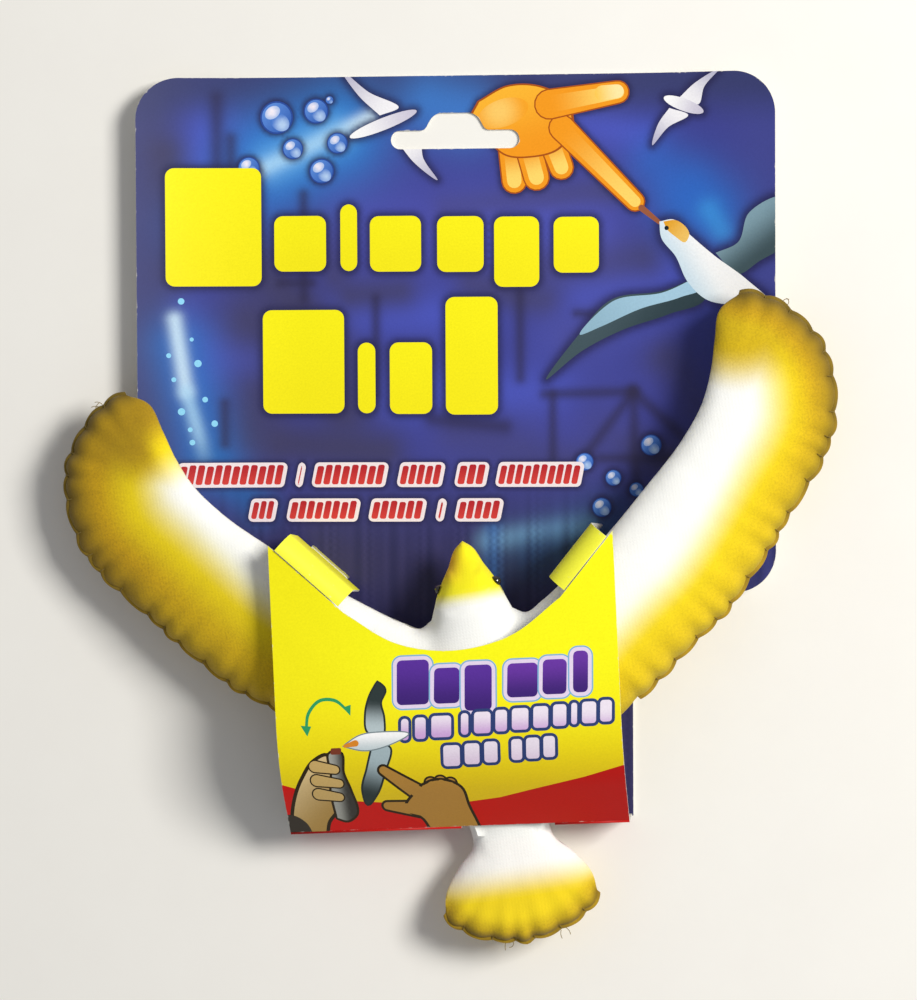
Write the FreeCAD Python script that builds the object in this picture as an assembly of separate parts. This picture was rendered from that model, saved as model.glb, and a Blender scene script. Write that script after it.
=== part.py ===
"""Soft foam balance bird held on its hang card by a fold-over wrap.

The pack lies on its back. +X is to the right and +Y towards the hang slot, +Z comes out of the
printed face. The origin is the middle of the bottom crease, on the card's back face.
All lengths are in millimetres.
"""

import FreeCAD, Part

import math
import os

Vector = FreeCAD.Vector

# ---- Board: one blank of coated card, creased into back card, spine, front panel and strips ----
BOARD = 0.5
CARD_WIDTH = 158.4
CARD_TOP = 185.0
CARD_CORNER = 10.5
WIDE_BOTTOM = 57.0
NECK_CENTRE = 1.2
NECK_WIDTH = 85.0
INNER_CORNER = 6.0
FLAT_HALF_WIDTH = 38.0
CURL_RADIUS = 139.0

# ---- Hang slot: a 32 mm sombrero slot ----
SLOT_LENGTH = 32.0
SLOT_HEIGHT = 4.6
SLOT_Y = 169.2
HUMP_TOP = 6.6
HUMP_FOOT = 7.6
HUMP_SHOULDER = 5.2
HUMP_TOP_RADIUS = 3.6
HUMP_FOOT_RADIUS = 1.6

# ---- Wrap: folded a little askew, as it is by hand ----
WRAP_TURN = 2.5
WRAP_ORIGIN = Vector(1.5, 0.0, 0.0)
PANEL_HALF_WIDTH = 41.9
SPINE_HEIGHT = 13.0
CREASE_BEAD = 0.4
CREASE_GAP = 0.05
TAIL_GAP_CENTRE = 12.05
TAIL_GAP_HALF_WIDTH = 11.5
PANEL_RISE_ANGLE = 40.0
PANEL_RISE_LENGTH = 13.0
PANEL_BEND_RADIUS = 30.0
PANEL_FALL_ANGLE = 1.5
SHOULDER_V = 71.5
LEFT_INNER = (-24.2, 54.5)
RIGHT_INNER = (28.5, 56.0)
PANEL_DIP = (2.3, 44.3)

# ---- Shoulder strips: bent over the wings' leading edges, with tabs that sit in slits ----
FOLD_Z = 28.1
FOLD_GAP = 0.3
STRIP_BEND = 5.0
STRIP_FOOT_N = 3.4
STRIP_END_MARGIN = 2.0
TAB_TOP = 3.0
TAB_FOOT = 0.1
TAB_HALF_WIDTH = 5.5
SLIT_CLEARANCE = 0.6

# ---- Bird: its own frame has v along the body, towards the beak, and u to its right wing ----
BIRD_TURN = 9.0
BIRD_ORIGIN = Vector(8.55, 31.55, 0.0)
BODY_Z = 17.3
TAIL_DIP_Z = 7.0
TAIL_END_Z = 13.0
WING_DROOP = 5.6
BEAK_DROP = 5.0
COVER = 0.8
SEAM_THICKNESS = 0.8
SCALLOPS_WING = 19
SCALLOPS_TAIL = 7
SCALLOP_BULGE = 1.5
SEAM_ROOT = 0.15
GRID_STEP = 5.0

# One side of the bird in plan, from the beak round the wing to the tail's middle.
HEAD_SIDE = [(2.0, 37.4), (4.2, 33.3), (6.8, 28.9), (8.7, 24.5), (10.0, 21.2)]
WING_LEAD = [
    (13.0, 19.6), (17.5, 21.8), (25.5, 27.3), (37.0, 36.3), (46.5, 44.8), (57.5, 55.2),
    (63.5, 63.0), (67.0, 71.0), (69.0, 78.0), (71.2, 84.6),
]
WING_TIP = (76.5, 88.0)
WING_TRAIL = [
    (83.8, 84.9), (89.2, 79.9), (93.2, 73.6), (95.0, 66.5), (94.7, 59.0), (92.5, 50.6),
    (88.2, 43.5), (81.8, 36.1), (76.3, 29.5), (70.3, 22.4), (59.4, 11.6), (51.0, 5.7),
    (37.0, -5.2),
]
FLANK = [(24.5, -14.5), (14.5, -24.5)]
TAIL_NECK = [(10.1, -31.0), (9.9, -36.0)]
TAIL_SIDE = [(14.2, -40.8), (18.2, -46.6)]
TAIL_CORNER = (19.2, -51.2)
TAIL_END = [(15.6, -54.7), (8.8, -58.2)]
BEAK_V = 39.0
TAIL_V = -59.8

# Where each limb's middle line runs, with its half width and half thickness: (u, v, w, t).
WING_LINE = [
    (10.0, 2.0, 19.5, 8.6), (31.0, 10.6, 19.5, 7.4), (44.0, 21.0, 19.0, 6.8),
    (54.0, 28.7, 19.0, 6.2), (65.5, 40.2, 18.4, 5.6), (73.6, 50.8, 17.6, 5.2),
    (79.2, 60.5, 17.8, 4.9), (81.5, 70.0, 16.4, 4.4), (80.5, 76.0, 14.4, 4.0),
]
BODY_LINE = [
    (0.0, 35.5, 4.6, 3.4), (0.0, 29.0, 8.6, 6.2), (0.0, 21.0, 12.0, 8.6),
    (0.0, 8.0, 17.0, 9.4), (0.0, -10.0, 28.5, 8.8), (0.0, -23.0, 20.5, 6.4),
    (0.0, -33.0, 12.0, 4.5), (0.0, -42.0, 17.5, 4.0), (0.0, -50.0, 21.5, 3.6),
]
PILLOW_LIMIT = 1.25
BLEND = 1.2

# ---- Inside the bird ----
WIRE_RADIUS = 0.6
WIRE_BEND_RUN = 3.0
WIRE_LEAD_IN = 5.0
WEIGHT_RADIUS = 2.5
WEIGHT_LENGTH = 11.7
WEIGHT_FROM = (79.0, 60.0)
WEIGHT_TOWARDS = (81.5, 70.0)
WIRE_IN_WEIGHT = 3.0
WIRE_LINE = [(0.0, 4.0), (14.0, 5.5), (31.0, 12.5), (46.0, 23.0), (60.0, 35.0), (70.5, 46.0)]
BEAK_CORE = (30.0, 36.2, 2.0, 1.2)
PIN_RADIUS = 0.7
PIN_V = 35.6
PIN_PROUD = 1.0
EYE_RADIUS = 1.3
EYE_UV = (7.0, 28.2)
EYE_LIFT = 1.2

HIGH = 60.0


def frame(turn, origin):
    """The placement that takes a local frame to the card's frame."""
    return FreeCAD.Placement(origin, FreeCAD.Rotation(Vector(0, 0, 1), turn))


WRAP = frame(WRAP_TURN, WRAP_ORIGIN)
BIRD = frame(BIRD_TURN, BIRD_ORIGIN)


def placed(shape, placement):
    """A copy of the shape, taken from a local frame to the card's frame."""
    copy = shape.copy()
    copy.transformShape(placement.toMatrix(), True)
    return copy


def one_solid(shape):
    """The largest solid of a boolean result, without slivers."""
    return max(shape.Solids, key=lambda solid: solid.Volume)


def without(shape, tools):
    """The shape less each tool in turn."""
    for tool in tools:
        shape = shape.cut(tool)
    return shape


def rounded_outline(corners):
    """A closed wire through corners (x, y, radius), each rounded by an arc of its radius."""
    edges = []
    ends = []
    for i, (x, y, radius) in enumerate(corners):
        here = Vector(x, y, 0)
        before = Vector(*corners[i - 1][:2], 0)
        after = Vector(*corners[(i + 1) % len(corners)][:2], 0)
        back = (before - here).normalize()
        ahead = (after - here).normalize()
        half = back.getAngle(ahead) / 2
        run = radius / math.tan(half)
        inward = (back + ahead).normalize()
        middle = here + inward * (radius / math.sin(half) - radius)
        ends.append((here + back * run, middle, here + ahead * run))
    for i, (start, middle, end) in enumerate(ends):
        if corners[i][2] > 0:
            edges.append(Part.Arc(start, middle, end).toShape())
        following = ends[(i + 1) % len(ends)][0]
        if (following - end).Length > 1e-6:
            edges.append(Part.makeLine(end, following))
    return Part.Wire(Part.__sortEdges__(edges))


def prism(wire, low, high):
    """The solid between two heights with the given outline."""
    face = Part.Face(wire)
    face.translate(Vector(0, 0, low))
    return face.extrude(Vector(0, 0, high - low))


# ---- Card ----

def curled_slab():
    """Board that lies flat in the middle and curls up towards both sides, as wide as the card."""
    reach = CARD_WIDTH / 2 + 2
    angle = math.asin((reach - FLAT_HALF_WIDTH) / CURL_RADIUS)

    def curl(side, radius, share):
        turn = angle * share
        x = side * (FLAT_HALF_WIDTH + radius * math.sin(turn))
        return Vector(x, 0, CURL_RADIUS - radius * math.cos(turn))

    top = CURL_RADIUS - BOARD
    edges = []
    for side in (-1, 1):
        low = [curl(side, CURL_RADIUS, share) for share in (0, 0.5, 1)]
        high = [curl(side, top, share) for share in (0, 0.5, 1)]
        edges.append(Part.Arc(*low).toShape())
        edges.append(Part.Arc(*high).toShape())
        edges.append(Part.makeLine(low[2], high[2]))
    for z in (0, BOARD):
        edges.append(Part.makeLine(Vector(-FLAT_HALF_WIDTH, 0, z), Vector(FLAT_HALF_WIDTH, 0, z)))
    face = Part.Face(Part.Wire(Part.__sortEdges__(edges)))
    face.translate(Vector(0, -20, 0))
    return face.extrude(Vector(0, CARD_TOP + 40, 0))


def card_outline():
    """The back card: a wide header on a neck whose foot is the bottom crease."""
    half = CARD_WIDTH / 2
    left = NECK_CENTRE - NECK_WIDTH / 2
    right = NECK_CENTRE + NECK_WIDTH / 2
    slope = math.tan(math.radians(WRAP_TURN))
    foot = [(x, (x - WRAP_ORIGIN.x) * slope - BOARD, 0) for x in (left, right)]
    return rounded_outline([
        *foot,
        (right, WIDE_BOTTOM, INNER_CORNER), (half, WIDE_BOTTOM, CARD_CORNER),
        (half, CARD_TOP, CARD_CORNER), (-half, CARD_TOP, CARD_CORNER),
        (-half, WIDE_BOTTOM, CARD_CORNER), (left, WIDE_BOTTOM, INNER_CORNER),
    ])


def hang_slot_outline():
    """A round-ended slot with a hump in the middle of its upper side."""
    half = SLOT_LENGTH / 2
    low = SLOT_Y - SLOT_HEIGHT / 2
    high = SLOT_Y + SLOT_HEIGHT / 2
    end_radius = SLOT_HEIGHT / 2 - 0.01
    top = SLOT_Y + HUMP_TOP
    return rounded_outline([
        (-half, low, end_radius), (half, low, end_radius), (half, high, end_radius),
        (HUMP_FOOT, high, HUMP_FOOT_RADIUS), (HUMP_SHOULDER, top, HUMP_TOP_RADIUS),
        (-HUMP_SHOULDER, top, HUMP_TOP_RADIUS), (-HUMP_FOOT, high, HUMP_FOOT_RADIUS),
        (-half, high, end_radius),
    ])


def back_card(slits):
    """The back card, with its hang slot and the slits that take the lock tabs."""
    card = curled_slab().common(prism(card_outline(), -5, HIGH))
    return one_solid(without(card, [prism(hang_slot_outline(), -5, HIGH), *slits]))


# ---- Wrap ----

def spine_half(start, end):
    """One side of the spine, which stands on the bottom crease, with a bead on its upper crease."""
    board_top = SPINE_HEIGHT
    board = Part.makeBox(end - start, BOARD, board_top - BOARD, Vector(start, -BOARD, BOARD))
    centre = Vector(start, -BOARD / 2, SPINE_HEIGHT)
    bead = Part.makeCylinder(CREASE_BEAD, end - start, centre, Vector(1, 0, 0))
    return placed(board.fuse(bead).removeSplitter(), WRAP)


def panel_profile(offset):
    """The panel's side view: its rise from the crease, its bend and its gentle fall, as edges."""
    rise = math.radians(PANEL_RISE_ANGLE)
    fall = math.radians(PANEL_FALL_ANGLE)
    hinge = Vector(0, -BOARD / 2, SPINE_HEIGHT)
    along = Vector(0, math.cos(rise), math.sin(rise))
    normal = Vector(0, -math.sin(rise), math.cos(rise))
    start = hinge + along * (CREASE_BEAD + CREASE_GAP) + normal * offset
    bend_start = hinge + along * PANEL_RISE_LENGTH + normal * offset
    centre = hinge + along * PANEL_RISE_LENGTH - normal * PANEL_BEND_RADIUS
    radius = PANEL_BEND_RADIUS + offset

    def on_bend(angle):
        return centre + Vector(0, math.sin(angle), math.cos(angle)) * radius

    bend_end = on_bend(fall)
    bend_middle = on_bend((fall - rise) / 2)
    run = (SHOULDER_V + 5 - bend_end.y) / math.cos(fall)
    end = bend_end + Vector(0, math.cos(fall), -math.sin(fall)) * run
    edges = [
        Part.makeLine(start, bend_start),
        Part.Arc(bend_start, bend_middle, bend_end).toShape(),
        Part.makeLine(bend_end, end),
    ]
    return start, end, edges


def front_panel():
    """The front panel: bent over the bird's body, its upper edge hollowed round the head."""
    low_start, low_end, low = panel_profile(-BOARD / 2)
    high_start, high_end, high = panel_profile(BOARD / 2)
    closing = [Part.makeLine(low_start, high_start), Part.makeLine(low_end, high_end)]
    profile = Part.Face(Part.Wire(Part.__sortEdges__(low + high + closing)))
    profile.translate(Vector(-PANEL_HALF_WIDTH, 0, 0))
    sheet = profile.extrude(Vector(2 * PANEL_HALF_WIDTH, 0, 0))
    left = Vector(-PANEL_HALF_WIDTH, SHOULDER_V, 0)
    right = Vector(PANEL_HALF_WIDTH, SHOULDER_V, 0)
    left_inner = Vector(*LEFT_INNER, 0)
    right_inner = Vector(*RIGHT_INNER, 0)
    outline = Part.Wire(Part.__sortEdges__([
        Part.makeLine(left, left_inner),
        Part.Arc(left_inner, Vector(*PANEL_DIP, 0), right_inner).toShape(),
        Part.makeLine(right_inner, right),
        Part.makeLine(right, Vector(PANEL_HALF_WIDTH, -10, 0)),
        Part.makeLine(Vector(PANEL_HALF_WIDTH, -10, 0), Vector(-PANEL_HALF_WIDTH, -10, 0)),
        Part.makeLine(Vector(-PANEL_HALF_WIDTH, -10, 0), left),
    ]))
    return placed(one_solid(sheet.common(prism(outline, 0, HIGH))), WRAP)


class Shoulder:
    """The fold along one shoulder: t runs from the shoulder inwards, n outwards from the panel."""

    def __init__(self, side, inner):
        start = Vector(side * PANEL_HALF_WIDTH, SHOULDER_V, 0)
        end = Vector(*inner, 0)
        self.length = (end - start).Length
        self.side = side
        angle = math.degrees(math.atan2(end.y - start.y, end.x - start.x))
        self.local = WRAP.multiply(frame(angle, start))

    def section(self):
        """The strip's section across the fold: a quarter bend and a leg down to the card."""
        n = self.side * -1
        top = FOLD_Z - STRIP_BEND
        outer = FOLD_GAP + STRIP_BEND
        slant = 1 / math.sqrt(2)

        def at(out, z):
            return Vector(0, n * out, z)

        def bend(radius):
            return Part.Arc(
                at(FOLD_GAP, top + radius),
                at(FOLD_GAP + radius * slant, top + radius * slant),
                at(FOLD_GAP + radius, top),
            ).toShape()

        inside = STRIP_BEND - BOARD
        return Part.Face(Part.Wire(Part.__sortEdges__([
            bend(STRIP_BEND),
            Part.makeLine(at(outer, top), at(STRIP_FOOT_N, TAB_FOOT)),
            Part.makeLine(at(STRIP_FOOT_N, TAB_FOOT), at(STRIP_FOOT_N - BOARD, TAB_FOOT)),
            Part.makeLine(at(STRIP_FOOT_N - BOARD, TAB_FOOT), at(FOLD_GAP + inside, top)),
            bend(inside),
            Part.makeLine(at(FOLD_GAP, top + inside), at(FOLD_GAP, top + STRIP_BEND)),
        ])))

    def length_of_section(self, start, end):
        """The section drawn out along the fold between two stations."""
        face = self.section()
        face.translate(Vector(start, 0, 0))
        return face.extrude(Vector(end - start, 0, 0))

    def strip(self):
        """The bent strip, down to the tab's shoulders."""
        whole = self.length_of_section(STRIP_END_MARGIN, self.length - STRIP_END_MARGIN)
        below = Part.makeBox(HIGH, HIGH, HIGH, Vector(-20, -HIGH / 2, TAB_TOP - HIGH))
        return placed(one_solid(whole.cut(below)), self.local)

    def tab(self):
        """The narrower tab below the strip, which ends inside the card's slit."""
        middle = self.length / 2
        whole = self.length_of_section(middle - TAB_HALF_WIDTH, middle + TAB_HALF_WIDTH)
        above = Part.makeBox(HIGH, HIGH, HIGH, Vector(-20, -HIGH / 2, TAB_TOP))
        return placed(one_solid(whole.cut(above)), self.local)

    def slit(self):
        """The space of the slit that the tab sits in."""
        width = BOARD + 2 * SLIT_CLEARANCE
        length = 2 * (TAB_HALF_WIDTH + SLIT_CLEARANCE)
        centre = self.side * -1 * (STRIP_FOOT_N - BOARD / 2)
        corner = Vector(self.length / 2 - length / 2, centre - width / 2, -5)
        return placed(Part.makeBox(length, width, 10, corner), self.local)


# ---- Bird: surfaces ----

def smooth_step(x, low, high):
    """0 below low, 1 above high, and a smooth rise between."""
    share = min(1.0, max(0.0, (x - low) / (high - low)))
    return share * share * (3 - 2 * share)


def middle_height(u, v):
    """Height of the surface midway between the bird's upper and lower covers."""
    wing = WING_DROOP * smooth_step(abs(u), 30, 96)
    head = BEAK_DROP * smooth_step(v, 21, 38) * (1 - smooth_step(abs(u), 9, 14))
    into_tail = (BODY_Z - TAIL_DIP_Z) * smooth_step(-v, 8, 34)
    out_of_tail = (TAIL_END_Z - TAIL_DIP_Z) * smooth_step(-v, 34, 62)
    return BODY_Z - wing - head - into_tail + out_of_tail


def limb_height(line, u, v):
    """Half thickness that one limb gives at a point, below zero outside the limb."""
    best = None
    for (u0, v0, w0, t0), (u1, v1, w1, t1) in zip(line, line[1:]):
        du, dv = u1 - u0, v1 - v0
        share = ((u - u0) * du + (v - v0) * dv) / (du * du + dv * dv)
        share = min(1.0, max(0.0, share))
        width = w0 + (w1 - w0) * share
        thickness = t0 + (t1 - t0) * share
        away = math.hypot(u - u0 - du * share, v - v0 - dv * share) / width
        if best is None or away < best[0]:
            best = (away, thickness)
    away, thickness = min(best[0], PILLOW_LIMIT), best[1]
    return thickness * (1 - 0.4 * away ** 2 - 0.6 * away ** 4)


def half_thickness(u, v):
    """Half the bird's thickness, from its body and the nearer wing blended together."""
    limbs = (limb_height(WING_LINE, abs(u), v), limb_height(BODY_LINE, u, v))
    return BLEND * math.log(sum(math.exp(height / BLEND) for height in limbs))


def height_face(height):
    """A smooth face over the bird's whole plan, at height(u, v)."""
    columns = [GRID_STEP * i for i in range(-20, 21)]
    rows = [GRID_STEP * j for j in range(-14, 20)]
    grid = [[Vector(u, v, height(u, v)) for v in rows] for u in columns]
    surface = Part.BSplineSurface()
    surface.interpolate(grid)
    return surface.toShape()


def below(height):
    """Everything under a height face."""
    return height_face(height).extrude(Vector(0, 0, -HIGH))


# ---- Bird: outline ----

def mirrored(points):
    """The same points on the left side, in the opposite order."""
    return [(-u, v) for u, v in reversed(points)]


def spline(points):
    """A smooth curve through points of the bird's plan."""
    curve = Part.BSplineCurve()
    curve.interpolate([Vector(u, v, 0) for u, v in points])
    return curve.toShape()


def outline_runs():
    """The covers' outline in plan, as smooth runs that meet at the beak, necks, tips and corners."""
    neck = HEAD_SIDE[-1]
    head = [(0.0, BEAK_V), *HEAD_SIDE]
    lead = [neck, *WING_LEAD, WING_TIP]
    trail = [WING_TIP, *WING_TRAIL, *FLANK, *TAIL_NECK, *TAIL_SIDE, TAIL_CORNER]
    end = [TAIL_CORNER, *TAIL_END, (0.0, TAIL_V), *mirrored([TAIL_CORNER, *TAIL_END])]
    return [head, lead, trail, end, mirrored(trail), mirrored(lead), mirrored(head)]


def moved_inwards(runs, distance):
    """The same runs with every point moved square to its neighbours, towards the inside."""
    loop = [point for run in runs for point in run[:-1]]
    moved = {}
    for i, here in enumerate(loop):
        before = loop[i - 1]
        after = loop[(i + 1) % len(loop)]
        du, dv = after[0] - before[0], after[1] - before[1]
        share = distance / math.hypot(du, dv)
        moved[here] = (here[0] + dv * share, here[1] - du * share)
    return [[moved[point] for point in run] for run in runs]


def bird_outline(inset):
    """The outline as a closed wire, moved inwards by inset."""
    return Part.Wire([spline(run) for run in moved_inwards(outline_runs(), inset)])


def scalloped_band(points, count):
    """A band along a run of the outline whose outer edge is a row of arcs."""
    base = spline(points)
    stations = base.discretize(Number=2 * count + 1)
    inner = []
    outer = []
    for i, here in enumerate(stations):
        before = stations[max(i - 1, 0)]
        after = stations[min(i + 1, len(stations) - 1)]
        tangent = (after - before).normalize()
        normal = Vector(-tangent.y, tangent.x, 0)
        reach = SEAM_ROOT + (SCALLOP_BULGE if i % 2 else 0.5)
        inner.append(here)
        outer.append(here + normal * reach)
    arcs = [
        Part.Arc(outer[i], outer[i + 1], outer[i + 2]).toShape()
        for i in range(0, len(outer) - 2, 2)
    ]
    ends = [Part.makeLine(inner[0], outer[0]), Part.makeLine(inner[-1], outer[-1])]
    return prism(Part.Wire(Part.__sortEdges__([base, *arcs, *ends])), -5, HIGH)


# ---- Bird: inserts ----

def on_middle(u, v):
    """The point of the middle surface at a place in plan."""
    return Vector(u, v, middle_height(u, v))


def rod(start, end, radius):
    """A straight round rod between two points."""
    return Part.makeCylinder(radius, (end - start).Length, start, end - start)


def weight_ends(side):
    """Both ends of the weight in the wing on one side, the inner end first."""
    start = on_middle(side * WEIGHT_FROM[0], WEIGHT_FROM[1])
    along = on_middle(side * WEIGHT_TOWARDS[0], WEIGHT_TOWARDS[1]) - start
    return start, start + along.normalize() * WEIGHT_LENGTH


def wire_points():
    """The wire's corners, from inside the left weight to inside the right one."""
    half = [on_middle(u, v) for u, v in WIRE_LINE]
    start, end = weight_ends(1)
    along = (end - start).normalize()
    half += [start - along * WIRE_LEAD_IN, start + along * WIRE_IN_WEIGHT]
    left = [Vector(-p.x, p.y, p.z) for p in reversed(half[1:])]
    return left + half


def bent_wire():
    """The wing wire: one round section swept along straight runs and tangent arcs."""
    points = wire_points()
    edges = []
    here = points[0]
    for before, corner, after in zip(points, points[1:], points[2:]):
        back = (before - corner).normalize()
        ahead = (after - corner).normalize()
        half = back.getAngle(ahead) / 2
        radius = WIRE_BEND_RUN * math.tan(half)
        start = corner + back * WIRE_BEND_RUN
        end = corner + ahead * WIRE_BEND_RUN
        middle = corner + (back + ahead).normalize() * (radius / math.sin(half) - radius)
        edges.append(Part.makeLine(here, start))
        edges.append(Part.Arc(start, middle, end).toShape())
        here = end
    edges.append(Part.makeLine(here, points[-1]))
    circle = Part.makeCircle(WIRE_RADIUS, points[0], points[1] - points[0])
    return Part.Wire(edges).makePipeShell([Part.Wire([circle])], True, False)


def wing_weight(side):
    """A steel slug, drilled at its inner end for the wire."""
    start, end = weight_ends(side)
    drill_end = start + (end - start).normalize() * WIRE_IN_WEIGHT
    return rod(start, end, WEIGHT_RADIUS).cut(rod(start, drill_end, WIRE_RADIUS))


def beak_core():
    """The moulded cone that keeps the beak stiff."""
    v0, v1, r0, r1 = BEAK_CORE
    start = on_middle(0, v0)
    end = on_middle(0, v1)
    return Part.makeCone(r0, r1, (end - start).Length, start, end - start)


def beak_pin():
    """The round-ended pin under the beak, on which the bird balances."""
    top = on_middle(0, PIN_V)
    foot = top.z - half_thickness(0, PIN_V) - PIN_PROUD + PIN_RADIUS
    end = Vector(0, PIN_V, foot)
    return rod(end, top, PIN_RADIUS).fuse(Part.makeSphere(PIN_RADIUS, end))


def eye(side, body):
    """A small bead sewn to the side of the head, cut to sit on the cover."""
    u, v = EYE_UV
    centre = on_middle(side * u, v) + Vector(0, 0, EYE_LIFT)
    return one_solid(Part.makeSphere(EYE_RADIUS, centre).cut(body))


def bird_nodes():
    """Every piece of the bird, in the card's frame, by node name."""
    middle = below(middle_height)

    def lump(skin):
        top = below(lambda u, v: middle_height(u, v) + half_thickness(u, v) - skin)
        foot = below(lambda u, v: middle_height(u, v) - half_thickness(u, v) + skin)
        return prism(bird_outline(skin), -5, HIGH).common(top).cut(foot)

    body = lump(0)
    core = lump(COVER)
    wire = bent_wire()
    weights = {side: wing_weight(side) for side in (-1, 1)}
    pin = beak_pin()
    cone = beak_core().cut(pin)
    inserts = [wire, weights[-1], weights[1], pin, cone]
    nodes = {
        "upper_cover": body.cut(middle).cut(core),
        "lower_cover": body.common(middle).cut(core).cut(pin),
        "upper_foam": without(core.cut(middle), inserts),
        "lower_foam": without(core.common(middle), inserts),
        "beak_core": cone,
        "beak_pin": pin,
        "wing_wire": wire,
        "left_wing_weight": weights[-1],
        "right_wing_weight": weights[1],
        "left_eye": eye(-1, body),
        "right_eye": eye(1, body),
    }
    low = height_face(lambda u, v: middle_height(u, v) - SEAM_THICKNESS / 2)
    slab = low.extrude(Vector(0, 0, SEAM_THICKNESS))
    trail = [WING_TIP, *WING_TRAIL]
    tail_half = [TAIL_CORNER, *TAIL_END]
    bands = {
        "right_wing_seam": (trail, SCALLOPS_WING),
        "left_wing_seam": (mirrored(trail), SCALLOPS_WING),
        "tail_seam": ([*tail_half, (0.0, TAIL_V), *mirrored(tail_half)], SCALLOPS_TAIL),
    }
    for name, (points, count) in bands.items():
        nodes[name] = scalloped_band(points, count).common(slab).cut(body)
    return {name: placed(one_solid(shape), BIRD) for name, shape in nodes.items()}


def main():
    """Builds every node and writes one STEP file for each."""
    shoulders = {"left": Shoulder(-1, LEFT_INNER), "right": Shoulder(1, RIGHT_INNER)}
    gap_low = TAIL_GAP_CENTRE - TAIL_GAP_HALF_WIDTH
    gap_high = TAIL_GAP_CENTRE + TAIL_GAP_HALF_WIDTH
    nodes = {
        "back_card": back_card([shoulder.slit() for shoulder in shoulders.values()]),
        "left_spine": spine_half(-PANEL_HALF_WIDTH, gap_low),
        "right_spine": spine_half(gap_high, PANEL_HALF_WIDTH),
        "front_panel": front_panel(),
    }
    for name, shoulder in shoulders.items():
        nodes[f"{name}_shoulder_strip"] = shoulder.strip()
        nodes[f"{name}_lock_tab"] = shoulder.tab()
    nodes.update(bird_nodes())
    os.makedirs("parts", exist_ok=True)
    for name, shape in nodes.items():
        shape.exportStep(f"parts/{name}.step")


main()
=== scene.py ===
"""Looks of a soft balancing bird on its hang card: printed board, printed fabric, seams and studio.

Shapes are worked out in millimetres, each in the plan of its own piece, and become metres when a
mesh is made. Three plans are used: the card's, the wrap's (turned 2.5 degrees) and the bird's
(turned 9 degrees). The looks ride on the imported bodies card, wrap, left_strip, right_strip, bird.
"""
import logging
import math
import random
from dataclasses import dataclass, field
from enum import Enum
from typing import Callable

import bmesh
import bpy
import numpy as np
from mathutils import Matrix, Vector
from mathutils.geometry import delaunay_2d_cdt
from mathutils.kdtree import KDTree


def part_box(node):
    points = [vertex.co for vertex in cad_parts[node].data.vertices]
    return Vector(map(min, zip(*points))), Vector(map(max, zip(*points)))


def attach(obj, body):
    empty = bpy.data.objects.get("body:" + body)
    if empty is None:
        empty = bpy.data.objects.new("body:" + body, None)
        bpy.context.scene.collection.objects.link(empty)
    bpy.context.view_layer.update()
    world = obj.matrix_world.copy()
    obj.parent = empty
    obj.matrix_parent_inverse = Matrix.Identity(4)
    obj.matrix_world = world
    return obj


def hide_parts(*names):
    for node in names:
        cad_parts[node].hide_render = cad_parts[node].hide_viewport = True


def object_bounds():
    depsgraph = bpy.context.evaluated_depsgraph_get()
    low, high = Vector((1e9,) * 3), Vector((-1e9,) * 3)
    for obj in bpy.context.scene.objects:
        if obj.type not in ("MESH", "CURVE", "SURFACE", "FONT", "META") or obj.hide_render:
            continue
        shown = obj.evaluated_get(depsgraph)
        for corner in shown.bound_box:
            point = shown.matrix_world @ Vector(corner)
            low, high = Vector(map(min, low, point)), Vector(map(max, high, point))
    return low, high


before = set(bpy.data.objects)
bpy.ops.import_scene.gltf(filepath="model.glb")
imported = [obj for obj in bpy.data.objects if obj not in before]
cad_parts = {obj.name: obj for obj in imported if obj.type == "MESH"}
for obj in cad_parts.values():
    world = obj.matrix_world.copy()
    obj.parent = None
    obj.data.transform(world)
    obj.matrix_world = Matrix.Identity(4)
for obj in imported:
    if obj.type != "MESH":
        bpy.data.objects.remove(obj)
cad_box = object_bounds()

MM = 0.001
LOG = logging.getLogger("balance_bird")

Paint = Callable[[np.ndarray], np.ndarray]
Place = Callable[[np.ndarray, float], np.ndarray]


class Body(Enum):
    """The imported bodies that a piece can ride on."""

    CARD = "card"
    WRAP = "wrap"
    LEFT_STRIP = "left_strip"
    RIGHT_STRIP = "right_strip"
    BIRD = "bird"


class Side(Enum):
    """Which cover or foam half a soft piece is: its sign says which way it swells."""

    UPPER = 1
    LOWER = -1


# ---- Colour ----

def linear(hex_colour: str) -> np.ndarray:
    """Turns an sRGB hex colour to linear light.

    Args:
        hex_colour: Six hex digits after a hash sign.

    Returns:
        Three linear channel values.
    """
    channels = np.array([int(hex_colour[i:i + 2], 16) for i in (1, 3, 5)]) / 255
    return np.where(channels <= 0.04045, channels / 12.92, ((channels + 0.055) / 1.055) ** 2.4)


def rgba(hex_colour: str) -> tuple[float, float, float, float]:
    """The same colour as a shader socket takes it."""
    return (*linear(hex_colour), 1.0)


def smooth(x: np.ndarray, low: float, high: float) -> np.ndarray:
    """0 below low, 1 above high and a smooth rise between."""
    share = np.clip((np.asarray(x, float) - low) / (high - low), 0, 1)
    return share * share * (3 - 2 * share)


def mixed(base: np.ndarray, hex_colour: str, amount: np.ndarray) -> np.ndarray:
    """Lays a colour over others.

    Args:
        base: Linear colours, one row a point.
        hex_colour: The colour laid over them.
        amount: How much of it, 0 to 1, one value a point.

    Returns:
        The new colours.
    """
    share = np.clip(amount, 0, 1)[:, None]
    return base * (1 - share) + linear(hex_colour) * share


def flat(hex_colour: str) -> Paint:
    """A paint of one colour."""
    return lambda points: np.tile(linear(hex_colour), (len(points), 1))


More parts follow.
